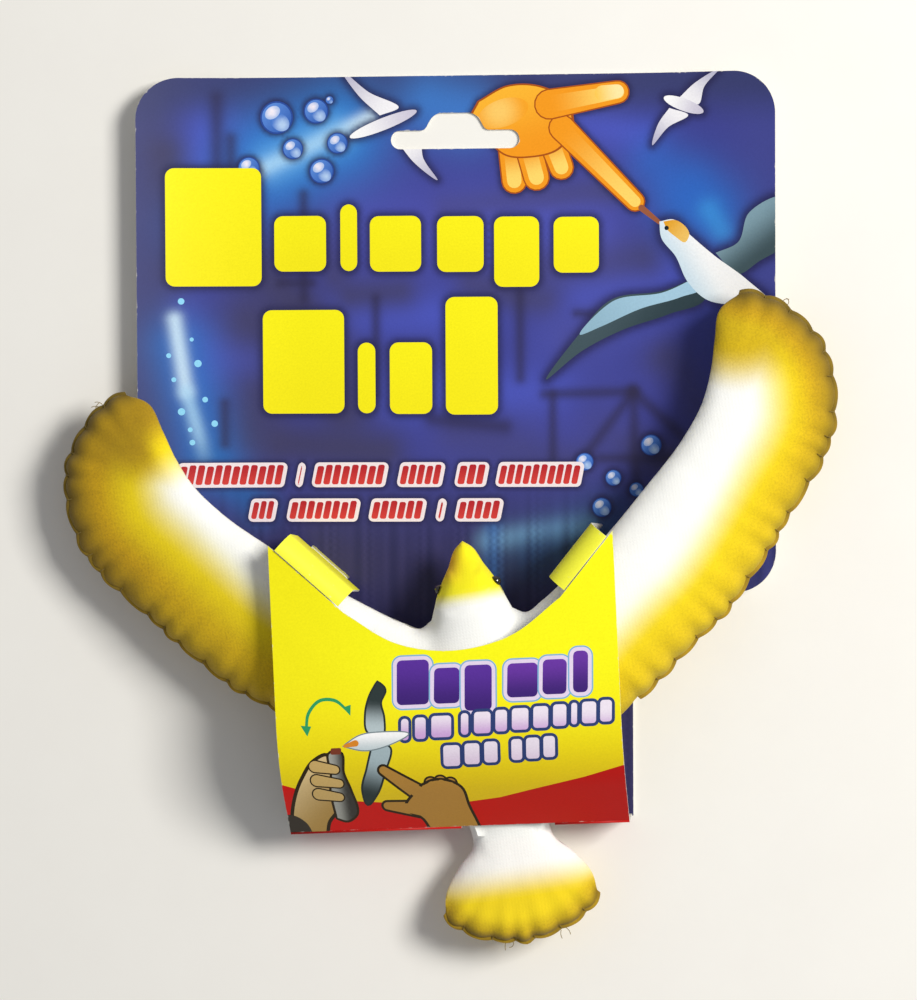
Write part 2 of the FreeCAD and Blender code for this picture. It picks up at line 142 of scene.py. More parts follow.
def fade(first: str, last: str, start: tuple[float, float], end: tuple[float, float]) -> Paint:
    """A paint that runs from one colour at start to another at end."""
    origin = np.array(start)
    along = np.array(end) - origin

    def paint(points: np.ndarray) -> np.ndarray:
        """The colours at some points."""
        share = smooth((points - origin) @ along / (along @ along), 0, 1)
        return mixed(flat(first)(points), last, share)

    return paint


def round_fade(centre: tuple[float, float], radius: float, inner: str, outer: str) -> Paint:
    """A paint that runs from one colour at a centre to another at a radius."""

    def paint(points: np.ndarray) -> np.ndarray:
        """The colours at some points."""
        away = np.linalg.norm(points - np.array(centre), axis=1) / radius
        return mixed(flat(inner)(points), outer, smooth(away, 0.1, 1))

    return paint


# ---- Outlines in plan ----

def resampled(loop: np.ndarray, step: float) -> np.ndarray:
    """A closed loop with points added so that no edge is longer than step."""
    points = []
    for here, after in zip(loop, np.roll(loop, -1, axis=0)):
        count = max(1, math.ceil(float(np.linalg.norm(after - here)) / step))
        points.extend(here + (after - here) * i / count for i in range(count))
    return np.array(points)


def rounded(corners: list[tuple[float, float, float]]) -> np.ndarray:
    """A closed loop through corners, each rounded by an arc.

    Args:
        corners: (x, y, radius) of each corner, in order.

    Returns:
        The loop's points.
    """
    points: list[np.ndarray] = []
    places = np.array([corner[:2] for corner in corners])
    for i, (here, corner) in enumerate(zip(places, corners)):
        radius = corner[2]
        back = places[i - 1] - here
        ahead = places[(i + 1) % len(places)] - here
        back = back / np.linalg.norm(back)
        ahead = ahead / np.linalg.norm(ahead)
        half = math.acos(float(np.clip(back @ ahead, -1, 1))) / 2
        if radius <= 0:
            points.append(here)
            continue
        bisector = (back + ahead) / np.linalg.norm(back + ahead)
        centre = here + bisector * radius / math.sin(half)
        run = radius / math.tan(half)
        start = here + back * run - centre
        end = here + ahead * run - centre
        turn = math.atan2(start[0] * end[1] - start[1] * end[0], float(start @ end))
        count = max(4, math.ceil(abs(turn) * radius / 0.6))
        for j in range(count + 1):
            angle = turn * j / count
            cos, sin = math.cos(angle), math.sin(angle)
            points.append(centre + (start[0] * cos - start[1] * sin, start[0] * sin + start[1] * cos))
    return np.array(points)


def bar(x0: float, x1: float, y0: float, y1: float, radius: float, slant: float = 0.0) -> np.ndarray:
    """A rounded bar whose ends lean by slant millimetres from its foot to its top."""
    return rounded([
        (x0, y0, radius), (x1, y0, radius), (x1 + slant, y1, radius), (x0 + slant, y1, radius),
    ])


def ellipse(x: float, y: float, rx: float, ry: float, turn: float = 0.0) -> np.ndarray:
    """An ellipse turned by some degrees."""
    angles = np.linspace(0, 2 * math.pi, 28, endpoint=False)
    cos, sin = math.cos(math.radians(turn)), math.sin(math.radians(turn))
    across, up = rx * np.cos(angles), ry * np.sin(angles)
    return np.stack([x + across * cos - up * sin, y + across * sin + up * cos], axis=1)


def capsule(start: tuple[float, float], end: tuple[float, float], r0: float, r1: float) -> np.ndarray:
    """A tapered, round-ended bar between two points."""
    a, b = np.array(start), np.array(end)
    angle = math.atan2(b[1] - a[1], b[0] - a[0])
    back = angle + np.linspace(math.pi / 2, 3 * math.pi / 2, 9)
    front = angle + np.linspace(-math.pi / 2, math.pi / 2, 9)
    return np.concatenate([
        a + r0 * np.stack([np.cos(back), np.sin(back)], axis=1),
        b + r1 * np.stack([np.cos(front), np.sin(front)], axis=1),
    ])


def smooth_run(points: list[tuple[float, float]], step: float) -> np.ndarray:
    """An open curve through points, with its ends.

    Args:
        points: The points that it passes through.
        step: The spacing of the points made along it.

    Returns:
        The curve's points, the first and last given points among them.
    """
    p = np.array(points, float)
    p = np.vstack([2 * p[0] - p[1], p, 2 * p[-1] - p[-2]])
    made = []
    for p0, p1, p2, p3 in zip(p, p[1:], p[2:], p[3:]):
        length = np.linalg.norm(p2 - p1)
        t0, t3 = np.linalg.norm(p1 - p0), np.linalg.norm(p3 - p2)
        m1 = ((p1 - p0) / t0 * length + (p2 - p1) * t0 / length) / (t0 + length) * length
        m2 = ((p2 - p1) / length * t3 + (p3 - p2) * length / t3) / (length + t3) * length
        count = max(1, math.ceil(float(length) / step))
        for t in np.arange(count) / count:
            made.append(
                (2 * t ** 3 - 3 * t ** 2 + 1) * p1 + (t ** 3 - 2 * t ** 2 + t) * m1
                + (3 * t ** 2 - 2 * t ** 3) * p2 + (t ** 3 - t ** 2) * m2
            )
    made.append(p[-2])
    return np.array(made)


def smooth_loop(points: list[tuple[float, float]], step: float = 0.8) -> np.ndarray:
    """A closed loop through points, smooth at each of them but the first."""
    return smooth_run([*points, points[0]], step)[:-1]


def turned(points: np.ndarray, degrees: float, origin: tuple[float, float]) -> np.ndarray:
    """Takes points from a turned plan to the card's plan."""
    cos, sin = math.cos(math.radians(degrees)), math.sin(math.radians(degrees))
    result = np.array(points, float)
    result[:, 0] = origin[0] + points[:, 0] * cos - points[:, 1] * sin
    result[:, 1] = origin[1] + points[:, 0] * sin + points[:, 1] * cos
    return result


def inside(points: np.ndarray, loop: np.ndarray) -> np.ndarray:
    """Which points lie inside a closed loop."""
    result = np.zeros(len(points), bool)
    near = np.flatnonzero(((points >= loop.min(0)) & (points <= loop.max(0))).all(1))
    x, y = points[near].T
    hit = np.zeros(len(near), bool)
    for (x0, y0), (x1, y1) in zip(loop, np.roll(loop, -1, axis=0)):
        if y0 != y1:
            hit ^= ((y0 > y) != (y1 > y)) & (x < (x1 - x0) * (y - y0) / (y1 - y0) + x0)
    result[near] = hit
    return result


def tree_of(points: np.ndarray) -> KDTree:
    """A search tree over points in plan."""
    tree = KDTree(len(points))
    for i, (x, y) in enumerate(points):
        tree.insert((x, y, 0), i)
    tree.balance()
    return tree


def nearest(tree: KDTree, points: np.ndarray) -> tuple[np.ndarray, np.ndarray]:
    """The index of the nearest point in the tree, and how far it is, for each point."""
    found = [tree.find((x, y, 0)) for x, y in points]
    return np.array([f[1] for f in found]), np.array([f[2] for f in found])


def triangulated(loops: list[np.ndarray], extra: np.ndarray) -> tuple[np.ndarray, np.ndarray]:
    """Triangles over loops and loose points, whose edges follow every loop.

    Args:
        loops: Closed loops, which may cross.
        extra: Loose points between them.

    Returns:
        The corner points, and the triangles as rows of three indices.
    """
    points: list[tuple[float, float]] = []
    edges = []
    for loop in loops:
        first, count = len(points), len(loop)
        points.extend(map(tuple, loop))
        edges.extend((first + i, first + (i + 1) % count) for i in range(count))
    points.extend(map(tuple, extra))
    made = delaunay_2d_cdt([Vector(p) for p in points], edges, [], 0, 1e-4, False)
    return np.array([v[:] for v in made[0]]), np.array(made[2])


def grid_in(outline: np.ndarray, holes: list[np.ndarray], step: float, clear: np.ndarray,
            gap: float) -> np.ndarray:
    """Points of a staggered grid inside an outline, clear of its holes and of some points."""
    low, high = outline.min(0), outline.max(0)
    rows = np.arange(low[1], high[1], step * 0.866)
    points = np.concatenate([
        np.stack([np.arange(low[0] + (i % 2) * step / 2, high[0], step),
                  np.full(len(np.arange(low[0] + (i % 2) * step / 2, high[0], step)), y)], axis=1)
        for i, y in enumerate(rows)
    ])
    keep = inside(points, outline)
    for hole in holes:
        keep &= ~inside(points, hole)
    points = points[keep]
    return points[nearest(tree_of(clear), points)[1] > gap]


# ---- Meshes and materials ----

def new_object(name: str, points: np.ndarray, faces: list, angle: float = 40.0) -> bpy.types.Object:
    """A smooth-shaded mesh object, sharp where its faces turn more than an angle.

    Args:
        name: The piece's name.
        points: Corner points in millimetres, in the card's frame.
        faces: Rows of corner indices.
        angle: The angle in degrees past which an edge is sharp.

    Returns:
        The object, linked to the scene.
    """
    mesh = bpy.data.meshes.new(name)
    mesh.from_pydata((np.asarray(points) * MM).tolist(), [], [list(map(int, f)) for f in faces])
    mesh.polygons.foreach_set("use_smooth", [True] * len(mesh.polygons))
    mesh.set_sharp_from_angle(angle=math.radians(angle))
    made = bpy.data.objects.new(name, mesh)
    bpy.context.scene.collection.objects.link(made)
    return made


def set_colours(mesh: bpy.types.Mesh, name: str, domain: str, colours: np.ndarray) -> None:
    """Writes a colour attribute on a mesh's points or face corners."""
    attribute = mesh.color_attributes.new(name, "FLOAT_COLOR", domain)
    rows = np.concatenate([colours, np.ones((len(colours), 1))], axis=1)
    attribute.data.foreach_set("color", rows.astype(np.float32).ravel())


def set_values(mesh: bpy.types.Mesh, name: str, values: np.ndarray) -> None:
    """Writes a number attribute on a mesh's points."""
    attribute = mesh.attributes.new(name, "FLOAT", "POINT")
    attribute.data.foreach_set("value", values.astype(np.float32))


def add(tree: bpy.types.NodeTree, kind: str, settings: dict | None = None,
        links: dict | None = None) -> bpy.types.Node:
    """Adds a node to a tree.

    Args:
        tree: The node tree.
        kind: The node's type name.
        settings: Input values by name or index; a key that starts with a dot is a property.
        links: The output sockets that feed inputs, by the inputs' names or indices.

    Returns:
        The node.
    """
    made = tree.nodes.new(kind)
    for key, value in (settings or {}).items():
        if isinstance(key, str) and key.startswith("."):
            setattr(made, key[1:], value)
        else:
            made.inputs[key].default_value = value
    for key, socket in (links or {}).items():
        tree.links.new(socket, made.inputs[key])
    return made


def wave_scale(period: float) -> float:
    """The Wave Texture scale whose bands repeat at a period in millimetres."""
    return 2 * math.pi / (20 * period * MM)


def noise_scale(size: float) -> float:
    """The Noise Texture scale whose blotches are about a size in millimetres."""
    return 1 / (size * MM)


@dataclass(frozen=True)
class Finish:
    """What every finish has: its name, a plain colour and its roughness."""

    name: str
    colour: str
    roughness: float
    metallic: float = 0.0
    coat: float = 0.0
    coat_roughness: float = 0.2
    sheen: float = 0.0
    sheen_roughness: float = 0.5
    ior: float = 1.5

    def start(self) -> tuple[bpy.types.Material, bpy.types.NodeTree, bpy.types.Node]:
        """A material with its shader's constant sockets set.

        Returns:
            The material, its node tree and the Principled BSDF node.
        """
        material = bpy.data.materials.new(self.name)
        material.use_nodes = True
        tree = material.node_tree
        shader = tree.nodes["Principled BSDF"]
        values = {
            "Base Color": rgba(self.colour), "Roughness": self.roughness,
            "Metallic": self.metallic, "Coat Weight": self.coat,
            "Coat Roughness": self.coat_roughness, "Sheen Weight": self.sheen,
            "Sheen Roughness": self.sheen_roughness, "IOR": self.ior,
        }
        for socket, value in values.items():
            shader.inputs[socket].default_value = value
        material.diffuse_color = rgba(self.colour)
        return material, tree, shader

    def material(self) -> bpy.types.Material:
        """The finished material."""
        raise NotImplementedError


@dataclass(frozen=True)
class PrintedBoard(Finish):
    """Offset print on bleached board under a thin gloss varnish.

    The eye gets even, saturated ink, a soft broad shine, and a trace of the board's fibres.
    """

    dots: float = 0.5
    fibres: float = 0.7
    waviness: float = 14.0

    def material(self) -> bpy.types.Material:
        """The finished material, whose ink is the mesh's own colour attribute; on the yellow wrap that
        attribute also holds painted shade and highlight.
        """
        material, tree, shader = self.start()
        ink = add(tree, "ShaderNodeAttribute", {".attribute_name": "ink"})
        wear = add(tree, "ShaderNodeAttribute", {".attribute_name": "edge"})
        place = add(tree, "ShaderNodeTexCoord").outputs["Object"]
        # Print dots are about 0.15 mm, too fine to show, so they are drawn at 0.5 mm.
        grain = add(tree, "ShaderNodeTexNoise", {
            "Scale": noise_scale(self.dots), "Detail": 2.0, "Roughness": 0.6,
        }, {"Vector": place}).outputs["Fac"]
        density = add(tree, "ShaderNodeMapRange", {"To Min": 0.90, "To Max": 1.08},
                      {"Value": grain}).outputs["Result"]
        printed = add(tree, "ShaderNodeVectorMath", {".operation": "SCALE"},
                      {0: ink.outputs["Color"], "Scale": density}).outputs["Vector"]
        # Corners and edges that have been handled show the board's white in small chips.
        chips = add(tree, "ShaderNodeTexNoise", {"Scale": noise_scale(1.6), "Detail": 3.0},
                    {"Vector": place}).outputs["Fac"]
        worn = add(tree, "ShaderNodeMath", {".operation": "MULTIPLY"},
                   {0: chips, 1: wear.outputs["Fac"]}).outputs["Value"]
        bare = add(tree, "ShaderNodeMapRange", {"From Min": 0.52, "From Max": 0.66, "To Max": 0.7},
                   {"Value": worn}).outputs["Result"]
        colour = add(tree, "ShaderNodeMix", {".data_type": "RGBA", 7: rgba("#e9e6dc")},
                     {0: bare, 6: printed}).outputs[2]
        tree.links.new(colour, shader.inputs["Base Color"])
        sheen = add(tree, "ShaderNodeMapRange", {
            "To Min": self.roughness - 0.05, "To Max": self.roughness + 0.08,
        }, {"Value": grain}).outputs["Result"]
        tree.links.new(sheen, shader.inputs["Roughness"])
        fibre = add(tree, "ShaderNodeTexNoise", {"Scale": noise_scale(self.fibres), "Detail": 4.0},
                    {"Vector": place}).outputs["Fac"]
        wave = add(tree, "ShaderNodeTexNoise", {"Scale": noise_scale(self.waviness), "Detail": 1.0},
                   {"Vector": place}).outputs["Fac"]
        slow = add(tree, "ShaderNodeBump", {"Strength": 0.35, "Distance": 0.4 * MM},
                   {"Height": wave})
        fine = add(tree, "ShaderNodeBump", {"Strength": 0.25, "Distance": 0.02 * MM},
                   {"Height": fibre, "Normal": slow.outputs["Normal"]})
        tree.links.new(fine.outputs["Normal"], shader.inputs["Normal"])
        return material


@dataclass(frozen=True)
class PlainBoard(Finish):
    """Uncoated board: the pressed pulp of its back and cut edges.

    The eye gets a matt off-white with small grey and tan fibres.
    """

    fleck: str = "#b9b3a3"
    fibre: float = 0.6

    def material(self) -> bpy.types.Material:
        """The finished material."""
        material, tree, shader = self.start()
        place = add(tree, "ShaderNodeTexCoord").outputs["Object"]
        pulp = add(tree, "ShaderNodeTexNoise", {
            "Scale": noise_scale(self.fibre), "Detail": 5.0, "Roughness": 0.7,
        }, {"Vector": place}).outputs["Fac"]
        share = add(tree, "ShaderNodeMapRange", {"From Min": 0.55, "From Max": 0.8, "To Max": 0.5},
                    {"Value": pulp}).outputs["Result"]
        colour = add(tree, "ShaderNodeMix", {
            ".data_type": "RGBA", 6: rgba(self.colour), 7: rgba(self.fleck),
        }, {0: share}).outputs[2]
        tree.links.new(colour, shader.inputs["Base Color"])
        bump = add(tree, "ShaderNodeBump", {"Strength": 0.4, "Distance": 0.04 * MM},
                   {"Height": pulp})
        tree.links.new(bump.outputs["Normal"], shader.inputs["Normal"])
        return material


@dataclass(frozen=True)
class BrushedFabric(Finish):
    """Spray-printed polyester, woven fine and brushed to a short nap.

    The eye gets soft colour with a speckle where the spray thins out, a faint weave and a fuzzy rim.
    """

    thread: float = 0.8
    speckle: float = 0.55
    turn: float = 9.0

    def material(self) -> bpy.types.Material:
        """The finished material, whose print is the mesh's own colour attribute; on the bird that attribute
        also holds painted shade.
        """
        material, tree, shader = self.start()
        ink = add(tree, "ShaderNodeAttribute", {".attribute_name": "print"}).outputs["Color"]
        spot = add(tree, "ShaderNodeAttribute", {".attribute_name": "spray"}).outputs["Fac"]
        place = add(tree, "ShaderNodeTexCoord").outputs["Object"]
        along = add(tree, "ShaderNodeMapping", {
            "Rotation": (0, 0, -math.radians(self.turn)),
        }, {"Vector": place}).outputs["Vector"]
        # Spray droplets are about 0.2 mm, too fine to show, so they are drawn at 0.55 mm.
        mist = add(tree, "ShaderNodeTexNoise", {
            "Scale": noise_scale(self.speckle), "Detail": 3.0, "Roughness": 0.75,
        }, {"Vector": place}).outputs["Fac"]
        drift = add(tree, "ShaderNodeTexNoise", {"Scale": noise_scale(7.0), "Detail": 2.0},
                    {"Vector": place}).outputs["Fac"]
        droplets = add(tree, "ShaderNodeMapRange", {
            "From Min": 0.42, "From Max": 0.68, "To Max": 0.42,
        }, {"Value": mist}).outputs["Result"]
        amount = add(tree, "ShaderNodeMath", {".operation": "MULTIPLY"},
                     {0: droplets, 1: spot}).outputs["Value"]
        speckled = add(tree, "ShaderNodeMix", {".data_type": "RGBA", 7: rgba("#8a6d10")},
                       {0: amount, 6: ink}).outputs[2]
        uneven = add(tree, "ShaderNodeMapRange", {"To Min": 0.93, "To Max": 1.05},
                     {"Value": drift}).outputs["Result"]
        colour = add(tree, "ShaderNodeVectorMath", {".operation": "SCALE"},
                     {0: speckled, "Scale": uneven}).outputs["Vector"]
        tree.links.new(colour, shader.inputs["Base Color"])
        # Threads are 0.5 mm apart, drawn at 0.8 mm so that they show.
        threads = [
            add(tree, "ShaderNodeTexWave", {
                ".bands_direction": axis, "Scale": wave_scale(self.thread), "Distortion": 1.2,
                "Detail": 2.0, "Detail Scale": 1.5,
            }, {"Vector": along}).outputs["Fac"]
            for axis in ("X", "Y")
        ]
        weave = add(tree, "ShaderNodeMath", {".operation": "MAXIMUM"},
                    {0: threads[0], 1: threads[1]}).outputs["Value"]
        nap = add(tree, "ShaderNodeTexNoise", {"Scale": noise_scale(0.9), "Detail": 6.0,
                                               "Roughness": 0.8}, {"Vector": place}).outputs["Fac"]
        cloth = add(tree, "ShaderNodeBump", {"Strength": 0.16, "Distance": 0.12 * MM},
                    {"Height": weave})
        fuzz = add(tree, "ShaderNodeBump", {"Strength": 0.35, "Distance": 0.2 * MM},
                   {"Height": nap, "Normal": cloth.outputs["Normal"]})
        tree.links.new(fuzz.outputs["Normal"], shader.inputs["Normal"])
        return material


@dataclass(frozen=True)
class GrainedFinish(Finish):
    """A solid material whose surface shows a fine grain: foam cells, drawn wire or moulded plastic."""

    second: str = "#808080"
    grain: float = 0.4
    stretch: tuple[float, float, float] = (1.0, 1.0, 1.0)
    depth: float = 0.05
    cells: bool = False

    def material(self) -> bpy.types.Material:
        """The finished material."""
        material, tree, shader = self.start()
        place = add(tree, "ShaderNodeTexCoord").outputs["Object"]
        scaled = add(tree, "ShaderNodeMapping", {"Scale": self.stretch},
                     {"Vector": place}).outputs["Vector"]
        if self.cells:
            grain = add(tree, "ShaderNodeTexVoronoi", {"Scale": noise_scale(self.grain)},
                        {"Vector": scaled}).outputs["Distance"]
        else:
            grain = add(tree, "ShaderNodeTexNoise", {
                "Scale": noise_scale(self.grain), "Detail": 4.0, "Roughness": 0.65,
            }, {"Vector": scaled}).outputs["Fac"]
        colour = add(tree, "ShaderNodeMix", {
            ".data_type": "RGBA", 6: rgba(self.colour), 7: rgba(self.second),
        }, {0: grain}).outputs[2]
        tree.links.new(colour, shader.inputs["Base Color"])
        rough = add(tree, "ShaderNodeMapRange", {
            "To Min": max(0.02, self.roughness - 0.08), "To Max": self.roughness + 0.1,
        }, {"Value": grain}).outputs["Result"]
        tree.links.new(rough, shader.inputs["Roughness"])
        bump = add(tree, "ShaderNodeBump", {"Strength": 0.5, "Distance": self.depth * MM},
                   {"Height": grain})
        tree.links.new(bump.outputs["Normal"], shader.inputs["Normal"])
        return material


BLUE_BOARD = PrintedBoard("varnished_blue_printed_board", "#4e57b4", 0.42, ior=1.3, coat=0.03,
                          coat_roughness=0.25)
YELLOW_BOARD = PrintedBoard("varnished_yellow_printed_board", "#f6e512", 0.42, ior=1.3, coat=0.03,
                            coat_roughness=0.25)
BOARD_CORE = PlainBoard("cut_board_edge", "#dbd9d2", 0.85)
BOARD_BACK = PlainBoard("uncoated_board_back", "#d9d5ca", 0.9)
COVER_CLOTH = BrushedFabric("brushed_polyester_cover", "#f4f2ea", 0.9, sheen=0.1, ior=1.4)
SEAM_CLOTH = BrushedFabric("pinched_polyester_seam", "#8a6d10", 0.9, sheen=0.1, ior=1.4)
THREAD = GrainedFinish("polyester_sewing_thread", "#6f5a1c", 0.8, second="#8d7526", grain=0.3,
                       sheen=0.2)
FOAM = GrainedFinish("open_cell_polyurethane_foam", "#e9e2c4", 0.95, second="#c9bf94", grain=1.2,
                     depth=0.4, cells=True)
WIRE = GrainedFinish("drawn_zinc_plated_steel_wire", "#b8babd", 0.32, metallic=1.0,
                     second="#9a9ca0", grain=0.5, depth=0.01)
SLUG = GrainedFinish("turned_steel_slug", "#a7a8ab", 0.38, metallic=1.0, second="#8b8d92",
                     grain=0.4, depth=0.02)
BEAK = GrainedFinish("moulded_polypropylene_beak", "#e0a21e", 0.45, second="#d8961a", grain=0.8,
                     depth=0.02)
EYE = GrainedFinish("polished_acrylic_bead", "#15130f", 0.12, second="#2a251c", grain=0.6,
                    depth=0.004, coat=1.0, coat_roughness=0.05)


@dataclass
class Wardrobe:
    """The materials, each made once and shared by the pieces that have it."""

    made: dict[str, bpy.types.Material] = field(default_factory=dict)

    def get(self, finish: Finish) -> bpy.types.Material:
        """The material of a finish."""
        if finish.name not in self.made:
            self.made[finish.name] = finish.material()
        return self.made[finish.name]


def settle(piece: bpy.types.Object, body: Body, slot: str, *stands_for: str) -> None:
    """Makes a piece ride on its body and stand for its nodes."""
    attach(piece, body.value)
    if stands_for:
        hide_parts(*stands_for)
    LOG.info("%s: %d faces on %s", piece.name, len(piece.data.polygons), body.value)


# ---- Printed board ----

@dataclass(frozen=True)
class Ink:
    """One printed shape: its outline, its paint, and how far its soft dark rim reaches."""

    outline: np.ndarray
    paint: Paint
    halo: float = 0.0


@dataclass
class PrintedSheet:
    """A piece of printed board, cut to an outline and laid on a curved surface."""

    name: str
    outline: np.ndarray
    holes: list[np.ndarray]
    place: Place
    ground: Paint
    inks: list[Ink]
    shade: str = "#26244e"
    step: float = 1.0
    board: float = 0.5

    def build(self) -> bpy.types.Object:
        """Makes the board: printed face, cut edges and back, with its ink as face-corner colours.

        Returns:
            The object, whose slots are to be the print, the core and the back.
        """
        cuts = [resampled(loop, self.step) for loop in (self.outline, *self.holes)]
        drawn = [resampled(ink.outline, self.step) for ink in self.inks]
        clear = np.concatenate(cuts + drawn)
        loose = grid_in(self.outline, self.holes, self.step, clear, self.step * 0.45)
        points, triangles = triangulated(cuts + drawn, loose)
        centres = points[triangles].mean(1)
        keep = inside(centres, self.outline)
        for hole in self.holes:
            keep &= ~inside(centres, hole)
        triangles, centres = triangles[keep], centres[keep]
        used, flat_index = np.unique(triangles, return_inverse=True)
        points, triangles = points[used], flat_index.reshape(-1, 3)
        sides = np.concatenate([triangles[:, [0, 1]], triangles[:, [1, 2]], triangles[:, [2, 0]]])
        keys = np.sort(sides, axis=1)
        _, first, counts = np.unique(keys, axis=0, return_index=True, return_counts=True)
        rim = sides[first[counts == 1]]
        count = len(points)
        faces = [
            *triangles.tolist(),
            *(triangles[:, ::-1] + count).tolist(),
            *np.stack([rim[:, 1], rim[:, 0], rim[:, 0] + count, rim[:, 1] + count], 1).tolist(),
        ]
        half = self.board / 2
        solid = np.concatenate([self.place(points, half), self.place(points, -half)])
        made = new_object(self.name, solid, faces)
        mesh = made.data
        slots = np.concatenate([
            np.zeros(len(triangles)), np.full(len(triangles), 2), np.ones(len(rim)),
        ]).astype(np.int32)
        mesh.polygons.foreach_set("material_index", slots)
        set_colours(mesh, "ink", "CORNER", self.corner_ink(points, triangles, centres, len(rim)))
        edge = np.exp(-(nearest(tree_of(np.concatenate(cuts)), points)[1] / 0.6) ** 2)
        set_values(mesh, "edge", np.concatenate([edge, edge]))
        return made

    def corner_ink(self, points: np.ndarray, triangles: np.ndarray, centres: np.ndarray,
                   rims: int) -> np.ndarray:
        """The ink of every face corner: the topmost printed shape over its triangle."""
        ground = self.ground(points)
        for reach in sorted({ink.halo for ink in self.inks if ink.halo}):
            rims_of = [resampled(ink.outline, 0.4) for ink in self.inks if ink.halo == reach]
            away = nearest(tree_of(np.concatenate(rims_of)), points)[1]
            ground = mixed(ground, self.shade, 0.85 * np.exp(-(away / reach) ** 2))
        colours = ground[triangles]
        for ink in self.inks:
            hit = inside(centres, ink.outline)
            if hit.any():
                corners = points[triangles[hit]].reshape(-1, 2)
                colours[hit] = ink.paint(corners).reshape(-1, 3, 3)
        white = np.ones((len(triangles) * 3 + rims * 4, 3)) * 0.7
        return np.concatenate([colours.reshape(-1, 3), white])


@dataclass(frozen=True)
class Stroke:
    """A soft brush stroke in a background: a blurred line, or a glow where its ends are close."""

    start: tuple[float, float]
    end: tuple[float, float]
    width: float
    colour: str
    strength: float

    def over(self, colours: np.ndarray, points: np.ndarray) -> np.ndarray:
        """The colours with this stroke laid over them."""
        a = np.array(self.start)
        along = np.array(self.end) - a
        share = np.clip((points - a) @ along / max(float(along @ along), 1e-9), 0, 1)
        away = np.linalg.norm(points - a - share[:, None] * along, axis=1)
        return mixed(colours, self.colour, self.strength * np.exp(-(away / self.width) ** 2))


def words(spans: list[tuple[float, float]], low: float, high: float, ink: str,
          edge: str) -> list[Ink]:
    """A line of dummy text: leaning ticks on a pale rounded backing, with no letters.

    Args:
        spans: Where each word starts and ends.
        low: The height of its foot.
        high: The height of its top.
        ink: The colour of the ticks.
        edge: The colour of the backing.

    Returns:
        The printed shapes.
    """
    shapes = []
    lean = (high - low) * 0.2
    for start, end in spans:
        shapes.append(Ink(bar(start, end, low, high, 1.2, lean), flat(edge), halo=0.8))
        count = max(1, round((end - start - 1.2) / 2.1))
        pitch = (end - start - 1.2) / count
        for i in range(count):
            left = start + 0.6 + i * pitch
            top = high - (0.6 if i % 3 else 0.9)
            shapes.append(Ink(bar(left + 0.25, left + pitch - 0.25, low + 0.7, top, 0.5, lean * 0.8),
                              fade(ink, "#d8403a", (0, high), (0, low))))
    return shapes


def gull(beak: tuple[float, float], tail: tuple[float, float], tips: list[tuple[float, float]],
         roots: list[tuple[float, float]]) -> list[Ink]:
    """A small white seabird seen from far off: a spindle body and two bent wings."""
    shapes = []
    body = np.array([beak, tail])
    axis = (body[1] - body[0]) / np.linalg.norm(body[1] - body[0])
    for tip, root in zip(tips, roots):
        r, t = np.array(root), np.array(tip)
        elbow = r + (t - r) * 0.45 + axis * -1.6
        lead = [tuple(r - axis * 2.4), tuple(elbow - axis * 0.6), tuple(t)]
        trail = [tuple(elbow + axis * 2.0), tuple(r + axis * 2.6)]
        shapes.append(Ink(smooth_loop(lead + trail), fade("#f6f4f8", "#b9b6cf", root, tip), 1.3))
    middle = body.mean(0)
    length = float(np.linalg.norm(body[1] - body[0])) / 2
    angle = math.degrees(math.atan2(axis[1], axis[0]))
    shapes.append(Ink(ellipse(middle[0], middle[1], length, 1.5, angle),
                      fade("#ffffff", "#cfc9dc", beak, tail), 1.3))
    return shapes


def bubble(x: float, y: float, radius: float) -> list[Ink]:
    """A glossy printed bubble: dark rim, blue body, light crescent and a pale highlight."""
    return [
        Ink(ellipse(x, y, radius, radius), flat("#274a9c"), 0.9),
        Ink(ellipse(x, y, radius * 0.9, radius * 0.9),
            fade("#5d8fe0", "#2e5cb4", (x - radius, y + radius), (x + radius, y - radius))),
        Ink(ellipse(x + radius * 0.2, y - radius * 0.28, radius * 0.62, radius * 0.5, -40),
            round_fade((x + radius * 0.35, y - radius * 0.45), radius * 0.7, "#b9d4f6", "#4478cf")),
        Ink(ellipse(x - radius * 0.25, y + radius * 0.3, radius * 0.5, radius * 0.36, 35),
            round_fade((x - radius * 0.3, y + radius * 0.36), radius * 0.5, "#fdf3fb", "#a9c2ee")),
    ]


def finger(start: tuple[float, float], end: tuple[float, float], r0: float, r1: float,
           light: str, dark: str, outline: str) -> list[Ink]:
    """A drawn finger: an outlined round-ended bar with a lighter middle."""
    return [
        Ink(capsule(start, end, r0 + 0.35, r1 + 0.35), flat(outline), 0.9),
        Ink(capsule(start, end, r0, r1), flat(dark)),
        Ink(capsule(start, end, r0 * 0.62, r1 * 0.62), fade(dark, light, start, end)),
    ]


